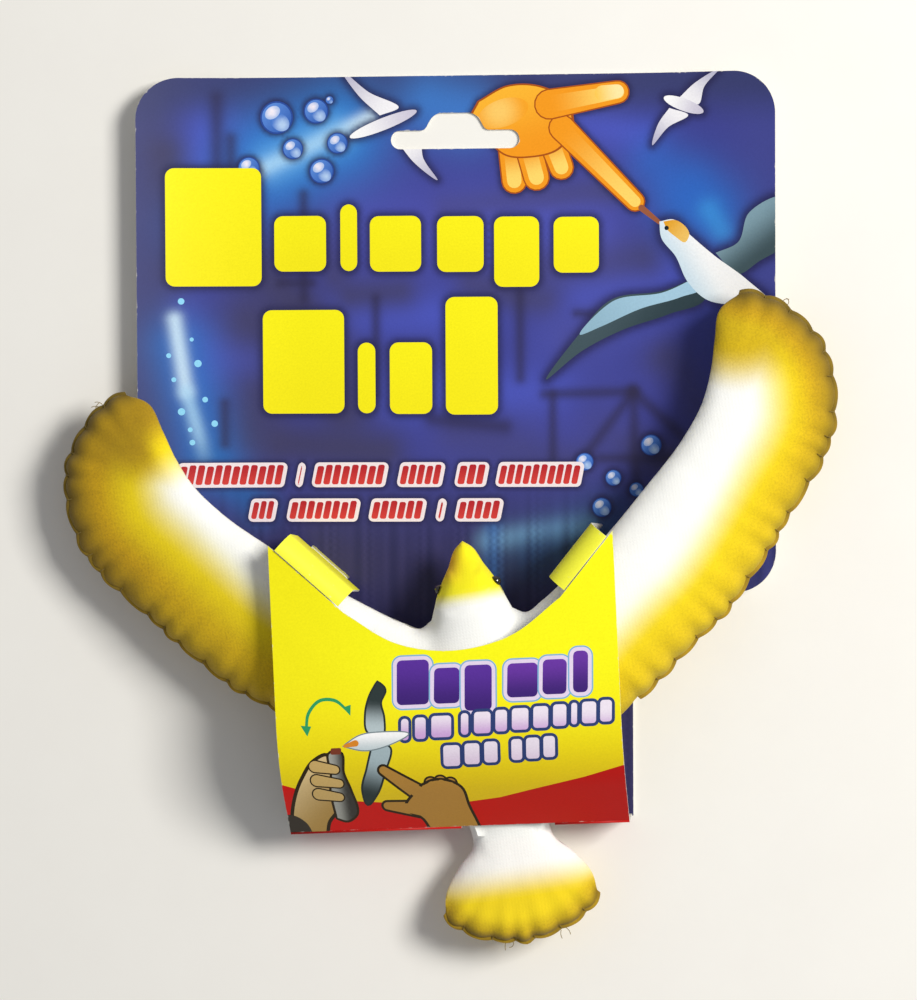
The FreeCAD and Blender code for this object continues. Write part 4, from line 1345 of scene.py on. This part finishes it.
@dataclass
class BirdForm:
    """The bird's shape in its own plan: outline, middle surface and thickness."""

    turn: float = 9.0
    origin: tuple[float, float] = (8.55, 31.55)
    body_z: float = 17.3
    tail_dip_z: float = 7.0
    tail_end_z: float = 13.0
    wing_droop: float = 5.6
    beak_drop: float = 5.0
    blend: float = 1.2
    pillow_limit: float = 1.25
    beak_v: float = 39.0
    tail_v: float = -59.8
    wing_tip: tuple[float, float] = (76.5, 88.0)
    tail_corner: tuple[float, float] = (19.2, -51.2)
    head_side: tuple = ((2.0, 37.4), (4.2, 33.3), (6.8, 28.9), (8.7, 24.5), (10.0, 21.2))
    wing_lead: tuple = (
        (13.0, 19.6), (17.5, 21.8), (25.5, 27.3), (37.0, 36.3), (46.5, 44.8), (57.5, 55.2),
        (63.5, 63.0), (67.0, 71.0), (69.0, 78.0), (71.2, 84.6),
    )
    wing_trail: tuple = (
        (83.8, 84.9), (89.2, 79.9), (93.2, 73.6), (95.0, 66.5), (94.7, 59.0), (92.5, 50.6),
        (88.2, 43.5), (81.8, 36.1), (76.3, 29.5), (70.3, 22.4), (59.4, 11.6), (51.0, 5.7),
        (37.0, -5.2),
    )
    flank: tuple = (
        (24.5, -14.5), (14.5, -24.5), (10.1, -31.0), (9.9, -36.0), (14.2, -40.8), (18.2, -46.6),
    )
    tail_end: tuple = ((15.6, -54.7), (8.8, -58.2))
    wing_line: tuple = (
        (10.0, 2.0, 19.5, 8.6), (31.0, 10.6, 19.5, 7.4), (44.0, 21.0, 19.0, 6.8),
        (54.0, 28.7, 19.0, 6.2), (65.5, 40.2, 18.4, 5.6), (73.6, 50.8, 17.6, 5.2),
        (79.2, 60.5, 17.8, 4.9), (81.5, 70.0, 16.4, 4.4), (80.5, 76.0, 14.4, 4.0),
    )
    body_line: tuple = (
        (0.0, 35.5, 4.6, 3.4), (0.0, 29.0, 8.6, 6.2), (0.0, 21.0, 12.0, 8.6),
        (0.0, 8.0, 17.0, 9.4), (0.0, -10.0, 28.5, 8.8), (0.0, -23.0, 20.5, 6.4),
        (0.0, -33.0, 12.0, 4.5), (0.0, -42.0, 17.5, 4.0), (0.0, -50.0, 21.5, 3.6),
    )

    def middle(self, points: np.ndarray) -> np.ndarray:
        """Height of the surface midway between the covers."""
        u, v = np.abs(points[:, 0]), points[:, 1]
        wing = self.wing_droop * smooth(u, 30, 96)
        head = self.beak_drop * smooth(v, 21, 38) * (1 - smooth(u, 9, 14))
        into_tail = (self.body_z - self.tail_dip_z) * smooth(-v, 8, 34)
        out_of_tail = (self.tail_end_z - self.tail_dip_z) * smooth(-v, 34, 62)
        return self.body_z - wing - head - into_tail + out_of_tail

    def limb(self, line: tuple, points: np.ndarray) -> np.ndarray:
        """Half thickness that one limb gives, below zero outside it."""
        best = np.full(len(points), np.inf)
        thick = np.zeros(len(points))
        for first, last in zip(line, line[1:]):
            a, b = np.array(first), np.array(last)
            along = b[:2] - a[:2]
            share = np.clip((points - a[:2]) @ along / (along @ along), 0, 1)
            size = a[2:] + share[:, None] * (b[2:] - a[2:])
            away = np.linalg.norm(points - a[:2] - share[:, None] * along, axis=1) / size[:, 0]
            thick = np.where(away < best, size[:, 1], thick)
            best = np.minimum(best, away)
        away = np.minimum(best, self.pillow_limit)
        return thick * (1 - 0.4 * away ** 2 - 0.6 * away ** 4)

    def half_thickness(self, points: np.ndarray) -> np.ndarray:
        """Half thickness of the bird: its body and nearer wing blended together."""
        wing = self.limb(self.wing_line, np.abs(points * (1, 0)) + points * (0, 1))
        body = self.limb(self.body_line, points)
        return self.blend * np.log(np.exp(wing / self.blend) + np.exp(body / self.blend))

    def runs(self, step: float) -> dict[str, np.ndarray]:
        """The right side's outline as smooth runs, from the beak round to the tail's middle."""
        neck = self.head_side[-1]
        trail = [self.wing_tip, *self.wing_trail, *self.flank, self.tail_corner]
        return {
            "head": smooth_run([(0.0, self.beak_v), *self.head_side], step),
            "lead": smooth_run([neck, *self.wing_lead, self.wing_tip], step),
            "trail": smooth_run(trail, step),
            "tail": smooth_run([self.tail_corner, *self.tail_end, (0.0, self.tail_v)], step),
        }

    def outline(self, step: float) -> np.ndarray:
        """The whole closed outline, clockwise from the beak."""
        half = np.concatenate([run[:-1] for run in self.runs(step).values()] + [[(0.0, self.tail_v)]])
        left = half[1:-1][::-1] * (-1, 1)
        return np.concatenate([half, left])

    def wing_edge(self, step: float) -> np.ndarray:
        """The right wing's scalloped trailing edge, from its tip to where it nears the body."""
        run = smooth_run([self.wing_tip, *self.wing_trail, *self.flank, self.tail_corner], step)
        end = np.argmin(np.linalg.norm(run - np.array(self.wing_trail[-1]), axis=1))
        return run[:end + 1]

    def tail_edge(self, step: float) -> np.ndarray:
        """The tail's scalloped end, from its right corner to its left one."""
        half = self.runs(step)["tail"]
        return np.concatenate([half, half[:-1][::-1] * (-1, 1)])

    def to_card(self, points: np.ndarray) -> np.ndarray:
        """Takes points from the bird's plan to the card's."""
        return turned(points, self.turn, self.origin)


def normals_of(run: np.ndarray) -> np.ndarray:
    """The direction to the left of an open run, at each of its points."""
    tangent = np.gradient(run, axis=0)
    tangent /= np.linalg.norm(tangent, axis=1)[:, None]
    return np.stack([-tangent[:, 1], tangent[:, 0]], axis=1)


@dataclass
class EdgeMeasure:
    """How far points are from the outline and from the scalloped edges, and where along them."""

    form: BirdForm
    scallops_wing: int = 19
    scallops_tail: int = 7
    step: float = 0.3
    uneven: float = 0.22

    def __post_init__(self) -> None:
        """Makes the search trees over the edges."""
        self.outline = tree_of(self.form.outline(self.step))
        wing, tail = self.form.wing_edge(self.step), self.form.tail_edge(self.step)
        self.edge_points = np.concatenate([wing, wing * (-1, 1), tail])
        self.edge_normals = np.concatenate([
            normals_of(wing), -normals_of(wing * (-1, 1)), normals_of(tail),
        ])
        self.edges = tree_of(self.edge_points)
        self.phase = np.concatenate([
            self.phases(wing, self.scallops_wing), self.phases(wing, self.scallops_wing),
            self.phases(tail, self.scallops_tail),
        ])
        self.trail = tree_of(self.form.runs(self.step)["trail"])

    def phases(self, run: np.ndarray, count: int) -> np.ndarray:
        """How many scallops lie before each point of a run."""
        lengths = np.concatenate([[0], np.cumsum(np.linalg.norm(np.diff(run, axis=0), axis=1))])
        even = lengths / lengths[-1] * count
        return even + self.uneven * np.sin(even * 1.7) * np.sin(math.pi * even / count)

    def swell(self, phase: np.ndarray) -> np.ndarray:
        """How far each scallop stands out along its length, 0 at its stitches and about 1 between."""
        size = 0.82 + 0.18 * np.sin(2.3 * np.floor(phase) + 1)
        return np.abs(np.sin(math.pi * phase)) ** 0.8 * size

    def to_outline(self, points: np.ndarray) -> np.ndarray:
        """Distance to the outline."""
        return nearest(self.outline, points)[1]

    def to_scallops(self, points: np.ndarray) -> tuple[np.ndarray, np.ndarray]:
        """Distance to the nearest scalloped edge, and the scallop count there."""
        index, away = nearest(self.edges, points)
        return away, self.phase[index]

    def gathered(self, points: np.ndarray, out: float, back: float, reach: float) -> np.ndarray:
        """Plan points pushed out by the scallops and pulled back at their stitches."""
        index, away = nearest(self.edges, points)
        push = (out + back) * self.swell(self.phase[index]) - back
        return points + self.edge_normals[index] * (push * np.exp(-(away / reach) ** 2))[:, None]

    def to_trail(self, points: np.ndarray) -> np.ndarray:
        """Distance to the trailing edge of the nearer wing and flank."""
        return nearest(self.trail, np.abs(points * (1, 0)) + points * (0, 1))[1]


def bird_print(form: BirdForm, edges: EdgeMeasure, points: np.ndarray) -> tuple[np.ndarray, np.ndarray]:
    """The sprayed colours of the bird's fabric, with painted shade on the left wing and on the head's left
    side.

    Args:
        form: The bird's shape.
        edges: Its edge distances.
        points: Plan points of the bird.

    Returns:
        The linear colours, and how strongly the spray speckles at each point.
    """
    u, v = np.abs(points[:, 0]), points[:, 1]
    trail = edges.to_trail(points)
    tip = np.linalg.norm(np.stack([u, v], 1) - np.array(form.wing_tip), axis=1)
    wing = smooth(u, 16, 30)
    outer = 1 - smooth(tip, 18, 64)
    left = (points[:, 0] < 0).astype(float)
    lead = edges.to_outline(points)
    bare_lead = left * (1 - smooth(lead, 1.5, 7)) * smooth(trail, 8, 16)
    whole_tip = (1 - smooth(tip, 13, 25)) * (1 - bare_lead)
    band = 8.5 + 8.0 * left
    yellow = np.maximum(1 - smooth(trail - band, 0, 9 + 3 * outer), whole_tip) * wing
    colours = flat("#fbfbf7")(points)
    cream = np.maximum(1 - smooth(trail - band, 3, 12), whole_tip)
    colours = mixed(colours, "#f9f49c", cream * wing * 0.6)
    colours = mixed(colours, "#f3d80f", yellow)
    # Gold and olive are the print on both wings; the left wing gets more of them as painted shade, since it
    # faces away from the light.
    gold = np.maximum(1 - smooth(trail, 3 + 4 * left, 12 + 6 * left), (0.5 + 0.4 * left) * whole_tip)
    gold = gold * wing * np.minimum(1, 0.35 + 0.35 * left + 0.65 * outer)
    colours = mixed(colours, "#cf9f0a", gold * 0.9)
    olive = np.maximum(1 - smooth(trail, 0.5, 6 + 3 * left), (0.2 + 0.5 * left) * whole_tip)
    olive = olive * wing * np.minimum(1, 0.2 + 0.1 * left + 0.8 * outer)
    colours = mixed(colours, "#8a6f10", olive * 0.9)
    brown = (1 - smooth(trail, 0, 2.0)) * wing * (0.35 + 0.5 * outer)
    colours = mixed(colours, "#5a4814", brown * 0.85)
    body = 1 - smooth(u, 14, 20)
    head = smooth(v, 23.6, 27.2) * body
    colours = mixed(colours, "#fbf012", head)
    # Orange laid only on the head's left side, away from the light, is painted shade.
    orange = head * smooth(v, 27, 35) * (1 - smooth(points[:, 0], -5, 1.5))
    colours = mixed(colours, "#efa016", orange * 0.9)
    tail_away, _ = edges.to_scallops(points)
    fan = smooth(-v, 41, 49.5) * (1 - smooth(u, 22, 26))
    colours = mixed(colours, "#f1d517", fan)
    rust = fan * (1 - smooth(tail_away, 0.5, 6))
    colours = mixed(colours, "#b58f14", rust * 0.75)
    colours = mixed(colours, "#6b5414", fan * (1 - smooth(tail_away, 0, 1.8)) * 0.8)
    spray = np.clip(gold * 0.8 + yellow * 0.25 + rust * 0.8, 0, 1) + 0.02
    return colours, spray


@dataclass
class SoftHalf:
    """A cover or a foam half: a closed crowned solid over the bird's plan, on one side of its middle."""

    name: str
    side: Side
    inset: float
    skin: float
    step: float
    fill: float
    ruffle: float = 0.62
    ruffle_reach: float = 4.2
    edge_height: float = 0.32
    round_edge: float = 3.0

    def outer_height(self, form: BirdForm, edges: EdgeMeasure, points: np.ndarray) -> np.ndarray:
        """Height over the middle surface: crowned, round at the edge, puckered at the scallops."""
        away = edges.to_outline(points)
        scallop, phase = edges.to_scallops(points)
        full = np.maximum(form.half_thickness(points), 0.9)
        share = np.clip(away / self.round_edge, 0, 1)
        crown = np.sqrt(share * (2 - share))
        pucker = self.ruffle * np.cos(2 * math.pi * phase) * np.exp(-scallop / self.ruffle_reach)
        seam = np.exp(-(scallop / 1.6) ** 2)
        height = self.edge_height + (full - self.edge_height) * crown * (1 - 0.25 * seam)
        return height - pucker * np.minimum(1, away / 1.2) - self.inset

    def build(self, form: BirdForm, edges: EdgeMeasure) -> bpy.types.Object:
        """Makes the closed solid, with its print and painted shade where it is a cover."""
        outline = form.outline(1.0)
        loops = [shrunk(outline, self.inset)]
        rings = [shrunk(outline, self.inset + d) for d in (0.35, 0.9, 1.7)]
        extra = np.concatenate(rings + [
            grid_in(loops[0], [], self.step, np.concatenate([*loops, *rings]), self.step * 0.7)
        ])
        points, triangles = triangulated(loops, extra)
        triangles = triangles[inside(points[triangles].mean(1), loops[0])]
        used, index = np.unique(triangles, return_inverse=True)
        points, triangles = points[used], index.reshape(-1, 3)
        middle = form.middle(points)
        outer = np.maximum(self.outer_height(form, edges, points), 0.15)
        inner = np.maximum(outer - self.skin, 0.02) if self.skin else np.full(len(points), 0.02)
        sides = np.concatenate([triangles[:, [0, 1]], triangles[:, [1, 2]], triangles[:, [2, 0]]])
        _, first, counts = np.unique(np.sort(sides, axis=1), axis=0, return_index=True,
                                     return_counts=True)
        rim = sides[first[counts == 1]]
        count, sign = len(points), self.side.value
        pulled = edges.gathered(points, 0.9, 0.35, 2.2) if self.ruffle else points
        plan = form.to_card(pulled)
        solid = np.concatenate([
            np.column_stack([plan, middle + sign * outer]),
            np.column_stack([plan, middle + sign * inner]),
        ])
        walls = np.stack([rim[:, 1], rim[:, 0], rim[:, 0] + count, rim[:, 1] + count], 1)
        faces = np.concatenate([triangles, triangles[:, ::-1] + count])
        if sign < 0:
            faces, walls = faces[:, ::-1], walls[:, ::-1]
        made = new_object(self.name, solid, [*faces.tolist(), *walls.tolist()], angle=60)
        colours, spray = bird_print(form, edges, points)
        set_colours(made.data, "print", "POINT", np.concatenate([colours, colours]))
        set_values(made.data, "spray", np.concatenate([spray, spray]))
        return made


def shrunk(loop: np.ndarray, distance: float) -> np.ndarray:
    """A clockwise loop moved inwards, without the points that would cross at its tight corners."""
    if distance <= 0:
        return loop
    tangent = np.roll(loop, -1, axis=0) - np.roll(loop, 1, axis=0)
    tangent /= np.linalg.norm(tangent, axis=1)[:, None]
    moved = loop + np.stack([tangent[:, 1], -tangent[:, 0]], axis=1) * distance
    return moved[nearest(tree_of(loop), moved)[1] > distance * 0.93]


@dataclass
class Seams:
    """The pinched seams along the wings' trailing edges and the tail's end, sewn in scallops."""

    root: float = 0.15
    valley: float = 0.5
    bulge: float = 1.5
    thickness: float = 0.8
    buried: float = 1.0
    rings: int = 10

    def ribbon(self, name: str, form: BirdForm, edges: EdgeMeasure, run: np.ndarray, count: int,
               outward: float) -> bpy.types.Object:
        """Makes one seam: a flat, round-edged band that swells between its stitches.

        Args:
            name: The piece's name.
            form: The bird's shape.
            edges: Its edge distances.
            run: The outline points that it follows.
            count: How many scallops it has.
            outward: 1 where the outside is on the run's left, -1 where it is on its right.

        Returns:
            The object.
        """
        phase = edges.phases(run, count)
        normal = normals_of(run) * outward
        swell = edges.swell(phase)
        reach = self.root + self.valley + (self.bulge - self.valley) * swell
        points, faces = [], []
        plan_points = []
        for i, (here, away) in enumerate(zip(run, normal)):
            for j in range(self.rings):
                angle = 2 * math.pi * j / self.rings
                out = -self.buried + (reach[i] + self.buried) * (0.5 + 0.5 * math.cos(angle))
                plan = here + away * out
                thick = self.thickness * (0.34 + 0.16 * swell[i])
                lift = 0.16 * math.sin(2 * math.pi * phase[i] + 1.1)
                plan_points.append(plan)
                points.append(math.sin(angle) * thick + lift)
        plans = np.array(plan_points)
        heights = form.middle(plans) + np.array(points)
        solid = np.column_stack([form.to_card(plans), heights])
        n = self.rings
        for i in range(len(run) - 1):
            for j in range(n):
                k = (j + 1) % n
                faces.append((i * n + j, (i + 1) * n + j, (i + 1) * n + k, i * n + k))
        faces.append(tuple(range(n)))
        faces.append(tuple(reversed(range((len(run) - 1) * n, len(run) * n))))
        made = new_object(name, solid, faces, angle=70)
        tidy_normals(made)
        tip = np.linalg.norm(np.abs(plans * (1, 0)) + plans * (0, 1) - np.array(form.wing_tip), axis=1)
        outer = 1 - smooth(tip, 18, 70)
        colours = mixed(flat("#c09a1c")(plans), "#75601a", 0.2 + 0.7 * outer)
        # Painted shade: the seam darkens at each stitch, where the fabric is pinched into a valley.
        dark = 0.5 + 0.5 * np.cos(2 * math.pi * np.repeat(phase, n))
        set_colours(made.data, "print", "POINT", mixed(colours, "#4a3d16", 0.45 * dark))
        set_values(made.data, "spray", np.full(len(plans), 0.6))
        return made

    def stitch_tree(self, material: bpy.types.Material) -> tuple[bpy.types.NodeTree, dict[str, str]]:
        """Geometry Nodes that put a thread loop at each point, facing out of the seam.

        Args:
            material: The thread's material.

        Returns:
            The tree, and the identifier of each input by its name.
        """
        tree = bpy.data.node_groups.new("stitch_loops", "GeometryNodeTree")
        tree.interface.new_socket("Geometry", in_out="INPUT", socket_type="NodeSocketGeometry")
        tree.interface.new_socket("Geometry", in_out="OUTPUT", socket_type="NodeSocketGeometry")
        inputs = {}
        for name, kind, value in [("Loop radius", "NodeSocketFloat", 0.9 * MM),
                                  ("Thread radius", "NodeSocketFloat", 0.13 * MM),
                                  ("Tilt", "NodeSocketFloat", 0.25), ("Seed", "NodeSocketInt", 11)]:
            socket = tree.interface.new_socket(name, in_out="INPUT", socket_type=kind)
            socket.default_value = value
            inputs[name] = socket.identifier
        given = add(tree, "NodeGroupInput")
        loop = add(tree, "GeometryNodeCurvePrimitiveCircle", {"Resolution": 12},
                   {"Radius": given.outputs["Loop radius"]})
        section = add(tree, "GeometryNodeCurvePrimitiveCircle", {"Resolution": 5},
                      {"Radius": given.outputs["Thread radius"]})
        thread = add(tree, "GeometryNodeCurveToMesh", {}, {
            "Curve": loop.outputs["Curve"], "Profile Curve": section.outputs["Curve"]})
        oval = add(tree, "GeometryNodeTransform", {
            "Rotation": (math.pi / 2, 0, 0), "Scale": (1.0, 1.0, 0.62),
        }, {"Geometry": thread.outputs["Mesh"]})
        outward = add(tree, "GeometryNodeInputNamedAttribute", {
            ".data_type": "FLOAT_VECTOR", "Name": "outward"})
        facing = add(tree, "FunctionNodeAlignRotationToVector", {".axis": "X", ".pivot_axis": "Z"},
                     {"Vector": outward.outputs["Attribute"]})
        lean = add(tree, "ShaderNodeMath", {".operation": "MULTIPLY", 1: -1.0},
                   {0: given.outputs["Tilt"]})
        tilt = add(tree, "FunctionNodeRandomValue", {".data_type": "FLOAT"}, {
            "Min": lean.outputs["Value"], "Max": given.outputs["Tilt"], "Seed": given.outputs["Seed"]})
        angles = add(tree, "ShaderNodeCombineXYZ", {}, {"Z": tilt.outputs[1]})
        twist = add(tree, "FunctionNodeEulerToRotation", {}, {"Euler": angles.outputs["Vector"]})
        turn = add(tree, "FunctionNodeRotateRotation", {".rotation_space": "LOCAL"}, {
            "Rotation": facing.outputs["Rotation"], "Rotate By": twist.outputs["Rotation"]})
        placed = add(tree, "GeometryNodeInstanceOnPoints", {}, {
            "Points": given.outputs["Geometry"], "Instance": oval.outputs["Geometry"],
            "Rotation": turn.outputs["Rotation"]})
        real = add(tree, "GeometryNodeRealizeInstances", {}, {"Geometry": placed.outputs["Instances"]})
        dressed = add(tree, "GeometryNodeSetMaterial", {"Material": material},
                      {"Geometry": real.outputs["Geometry"]})
        add(tree, "NodeGroupOutput", {}, {"Geometry": dressed.outputs["Geometry"]})
        return tree, inputs

    def stitches(self, form: BirdForm, edges: EdgeMeasure, wardrobe: Wardrobe) -> bpy.types.Object:
        """Makes the thread loops in the valleys of every seam."""
        places, facings = [], []
        wing, tail = form.wing_edge(0.2), form.tail_edge(0.2)
        for run, count, side in (
            (wing, edges.scallops_wing, 1), (wing * (-1, 1), edges.scallops_wing, -1),
            (tail, edges.scallops_tail, 1),
        ):
            phase = edges.phases(run, count)
            normal = normals_of(run) * side
            for k in range(1, count):
                i = int(np.argmin(np.abs(phase - k)))
                places.append(run[i] - normal[i] * 0.35)
                facings.append(normal[i])
        plan = np.array(places)
        points = np.column_stack([form.to_card(plan), form.middle(plan)])
        mesh = bpy.data.meshes.new("stitch_places")
        mesh.from_pydata((points * MM).tolist(), [], [])
        facing = mesh.attributes.new("outward", "FLOAT_VECTOR", "POINT")
        in_plan = turned(np.array(facings), form.turn, (0, 0))
        turned_out = np.column_stack([in_plan, np.zeros(len(plan))])
        facing.data.foreach_set("vector", turned_out.astype(np.float32).ravel())
        carrier = bpy.data.objects.new("stitch_places", mesh)
        bpy.context.scene.collection.objects.link(carrier)
        tree, inputs = self.stitch_tree(wardrobe.get(THREAD))
        modifier = carrier.modifiers.new("stitches", "NODES")
        modifier.node_group = tree
        for name, value in (
            ("Loop radius", 0.95 * MM), ("Thread radius", 0.14 * MM), ("Tilt", 0.3), ("Seed", 23),
        ):
            modifier[inputs[name]] = value
        graph = bpy.context.evaluated_depsgraph_get()
        result = bpy.data.meshes.new_from_object(carrier.evaluated_get(graph), depsgraph=graph)
        bpy.data.objects.remove(carrier)
        result.name = "seam_stitches"
        piece = bpy.data.objects.new("seam_stitches", result)
        bpy.context.scene.collection.objects.link(piece)
        return piece

    def frays(self, form: BirdForm, edges: EdgeMeasure) -> bpy.types.Object:
        """A few loose thread ends at the wing tips and under the tail."""
        chance = random.Random(5)
        wing, tail = form.wing_edge(0.3), form.tail_edge(0.3)
        starts = [(wing * (-1, 1), i, -1) for i in (22, 25, 29)] + [(wing, i, 1) for i in (36, 40)]
        starts += [(tail, i, 1) for i in (40, 44, 84, 90)]
        points, faces = [], []
        for run, i, side in starts:
            tangent = (run[i + 1] - run[i]) / np.linalg.norm(run[i + 1] - run[i])
            normal = np.array([-tangent[1], tangent[0]]) * side
            here = run[i] + normal * 0.9
            heading = math.atan2(normal[1], normal[0]) + chance.uniform(-0.7, 0.7)
            bend = chance.uniform(-0.5, 0.5)
            path = []
            for j in range(6):
                height = float(form.middle(here[None])[0]) + 0.1 * j * chance.uniform(0.2, 1)
                path.append((*form.to_card(here[None])[0], height))
                here = here + 0.42 * np.array([math.cos(heading), math.sin(heading)])
                heading += bend
            add_tube(points, faces, np.array(path), 0.09)
        made = new_object("loose_threads", np.array(points), faces)
        tidy_normals(made)
        return made

    def build(self, form: BirdForm, edges: EdgeMeasure, wardrobe: Wardrobe) -> None:
        """Makes the seams, their stitches and loose threads, and dresses them."""
        wing = form.wing_edge(0.45)
        for name, run, count, outward in (
            ("right_wing_seam", wing, edges.scallops_wing, 1.0),
            ("left_wing_seam", wing * (-1, 1), edges.scallops_wing, -1.0),
            ("tail_seam", form.tail_edge(0.45), edges.scallops_tail, 1.0),
        ):
            piece = self.ribbon(name + "_fold", form, edges, run, count, outward)
            piece.data.materials.append(wardrobe.get(SEAM_CLOTH))
            settle(piece, Body.BIRD, "seam_fabric", name)
        settle(self.stitches(form, edges, wardrobe), Body.BIRD, "seam_fabric")
        frays = self.frays(form, edges)
        frays.data.materials.append(wardrobe.get(THREAD))
        settle(frays, Body.BIRD, "seam_fabric")


def add_tube(points: list, faces: list, path: np.ndarray, radius: float, sides: int = 5) -> None:
    """Adds a thin closed tube along a path to a list of points and faces."""
    first = len(points)
    for i, here in enumerate(path):
        ahead = path[min(i + 1, len(path) - 1)] - path[max(i - 1, 0)]
        ahead /= np.linalg.norm(ahead)
        across = np.cross(ahead, (0, 0, 1.0))
        across /= np.linalg.norm(across)
        up = np.cross(across, ahead)
        for j in range(sides):
            angle = 2 * math.pi * j / sides
            points.append(here + radius * (math.cos(angle) * across + math.sin(angle) * up))
    for i in range(len(path) - 1):
        for j in range(sides):
            k = (j + 1) % sides
            a, b = first + i * sides, first + (i + 1) * sides
            faces.append((a + j, b + j, b + k, a + k))
    faces.append(tuple(first + j for j in range(sides)))
    last = first + (len(path) - 1) * sides
    faces.append(tuple(last + j for j in reversed(range(sides))))


def tidy_normals(piece: bpy.types.Object) -> None:
    """Turns every face of a closed mesh outwards."""
    work = bmesh.new()
    work.from_mesh(piece.data)
    bmesh.ops.recalc_face_normals(work, faces=work.faces)
    work.to_mesh(piece.data)
    work.free()


@dataclass
class Bird:
    """The soft bird: covers, foam, seams, and the hard pieces inside it."""

    form: BirdForm = field(default_factory=BirdForm)
    seams: Seams = field(default_factory=Seams)

    def build(self, wardrobe: Wardrobe) -> None:
        """Makes the soft pieces and dresses the hard nodes."""
        edges = EdgeMeasure(self.form)
        for word, side in (("upper", Side.UPPER), ("lower", Side.LOWER)):
            cover = SoftHalf(f"{word}_cover_cloth", side, 0.0, 0.75, 1.3, 0.85).build(self.form, edges)
            cover.data.materials.append(wardrobe.get(COVER_CLOTH))
            settle(cover, Body.BIRD, "cover_fabric", f"{word}_cover")
            core = SoftHalf(f"{word}_foam_core", side, 0.95, 0.0, 3.0, 0.85, ruffle=0.0)
            foam = core.build(self.form, edges)
            foam.data.materials.append(wardrobe.get(FOAM))
            settle(foam, Body.BIRD, "foam", f"{word}_foam")
        self.seams.build(self.form, edges, wardrobe)
        for node, finish in {
            "wing_wire": WIRE, "left_wing_weight": SLUG, "right_wing_weight": SLUG,
            "beak_core": BEAK, "beak_pin": BEAK, "left_eye": EYE, "right_eye": EYE,
        }.items():
            dress_node(node, wardrobe.get(finish))


def dress_node(node: str, material: bpy.types.Material) -> None:
    """Gives a CAD node its material."""
    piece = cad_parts[node]
    for slot in piece.material_slots:
        slot.material = material
    LOG.info("%s: dressed with %s", node, material.name)


# ---- Studio ----

@dataclass
class Studio:
    """The pale floor, the soft light from the right, and the camera over the card."""

    floor_size: float = 4.0
    look_at: tuple[float, float, float] = (0.38, 79.74, 0.0)
    distance: float = 900.0
    tilt_right: float = 5.61
    tilt_up: float = 1.93
    roll: float = -0.28
    lens: float = 130.2
    sensor: float = 36.0
    key_place: tuple[float, float, float] = (0.86, 0.42, 0.94)
    key_size: float = 0.45
    key_power: float = 17.6
    sky_strength: float = 0.33

    def floor(self) -> None:
        """Lays a plain pale floor just under the card."""
        half, low = self.floor_size / 2 / MM, cad_box[0].z / MM - 0.15
        corners = [(-half, -half, low), (half, -half, low), (half, half, low), (-half, half, low)]
        piece = new_object("floor", np.array(corners), [(0, 1, 2, 3)])
        finish = GrainedFinish("painted_table_top", "#f6f4ee", 0.8, second="#f1eee8", grain=30.0,
                               depth=0.0)
        piece.data.materials.append(finish.material())

    def lamp(self, name: str, place: tuple[float, float, float], size: float, power: float,
             colour: str) -> None:
        """Adds a square soft lamp that points at the middle of the card."""
        data = bpy.data.lights.new(name, "AREA")
        data.size, data.energy, data.color = size, power, linear(colour)
        made = bpy.data.objects.new(name, data)
        made.location = place
        target = Vector(self.look_at) * MM
        made.rotation_euler = (target - Vector(place)).to_track_quat("-Z", "Y").to_euler()
        bpy.context.scene.collection.objects.link(made)

    def build(self) -> None:
        """Makes floor, lamps, world and camera."""
        self.floor()
        self.lamp("key", self.key_place, self.key_size, self.key_power, "#fffdf8")
        scene = bpy.context.scene
        world = bpy.data.worlds.new("studio")
        world.use_nodes = True
        background = world.node_tree.nodes["Background"]
        background.inputs["Color"].default_value = rgba("#f4f6fb")
        background.inputs["Strength"].default_value = self.sky_strength
        scene.world = world
        scene.view_settings.view_transform = "Standard"
        data = bpy.data.cameras.new("camera")
        data.lens, data.sensor_width = self.lens, self.sensor
        camera = bpy.data.objects.new("camera", data)
        right_tilt, up_tilt, roll = (
            math.radians(angle) for angle in (self.tilt_right, self.tilt_up, self.roll)
        )
        away = Vector((math.sin(right_tilt) * math.cos(up_tilt), math.sin(up_tilt),
                       math.cos(right_tilt) * math.cos(up_tilt)))
        across = Vector((math.cos(right_tilt), 0, -math.sin(right_tilt)))
        upward = away.cross(across)
        axes = (across * math.cos(roll) + upward * math.sin(roll),
                upward * math.cos(roll) - across * math.sin(roll), away)
        camera.location = (Vector(self.look_at) + away * self.distance) * MM
        camera.rotation_euler = Matrix(axes).transposed().to_euler()
        scene.collection.objects.link(camera)
        scene.camera = camera


def main() -> None:
    """Builds the pieces in order."""
    logging.basicConfig(level=logging.INFO, format="%(name)s: %(message)s")
    wardrobe = Wardrobe()
    BackCard().build(wardrobe)
    Wrap().build(wardrobe)
    Bird().build(wardrobe)
    Studio().build()


if __name__ == "__main__":
    main()
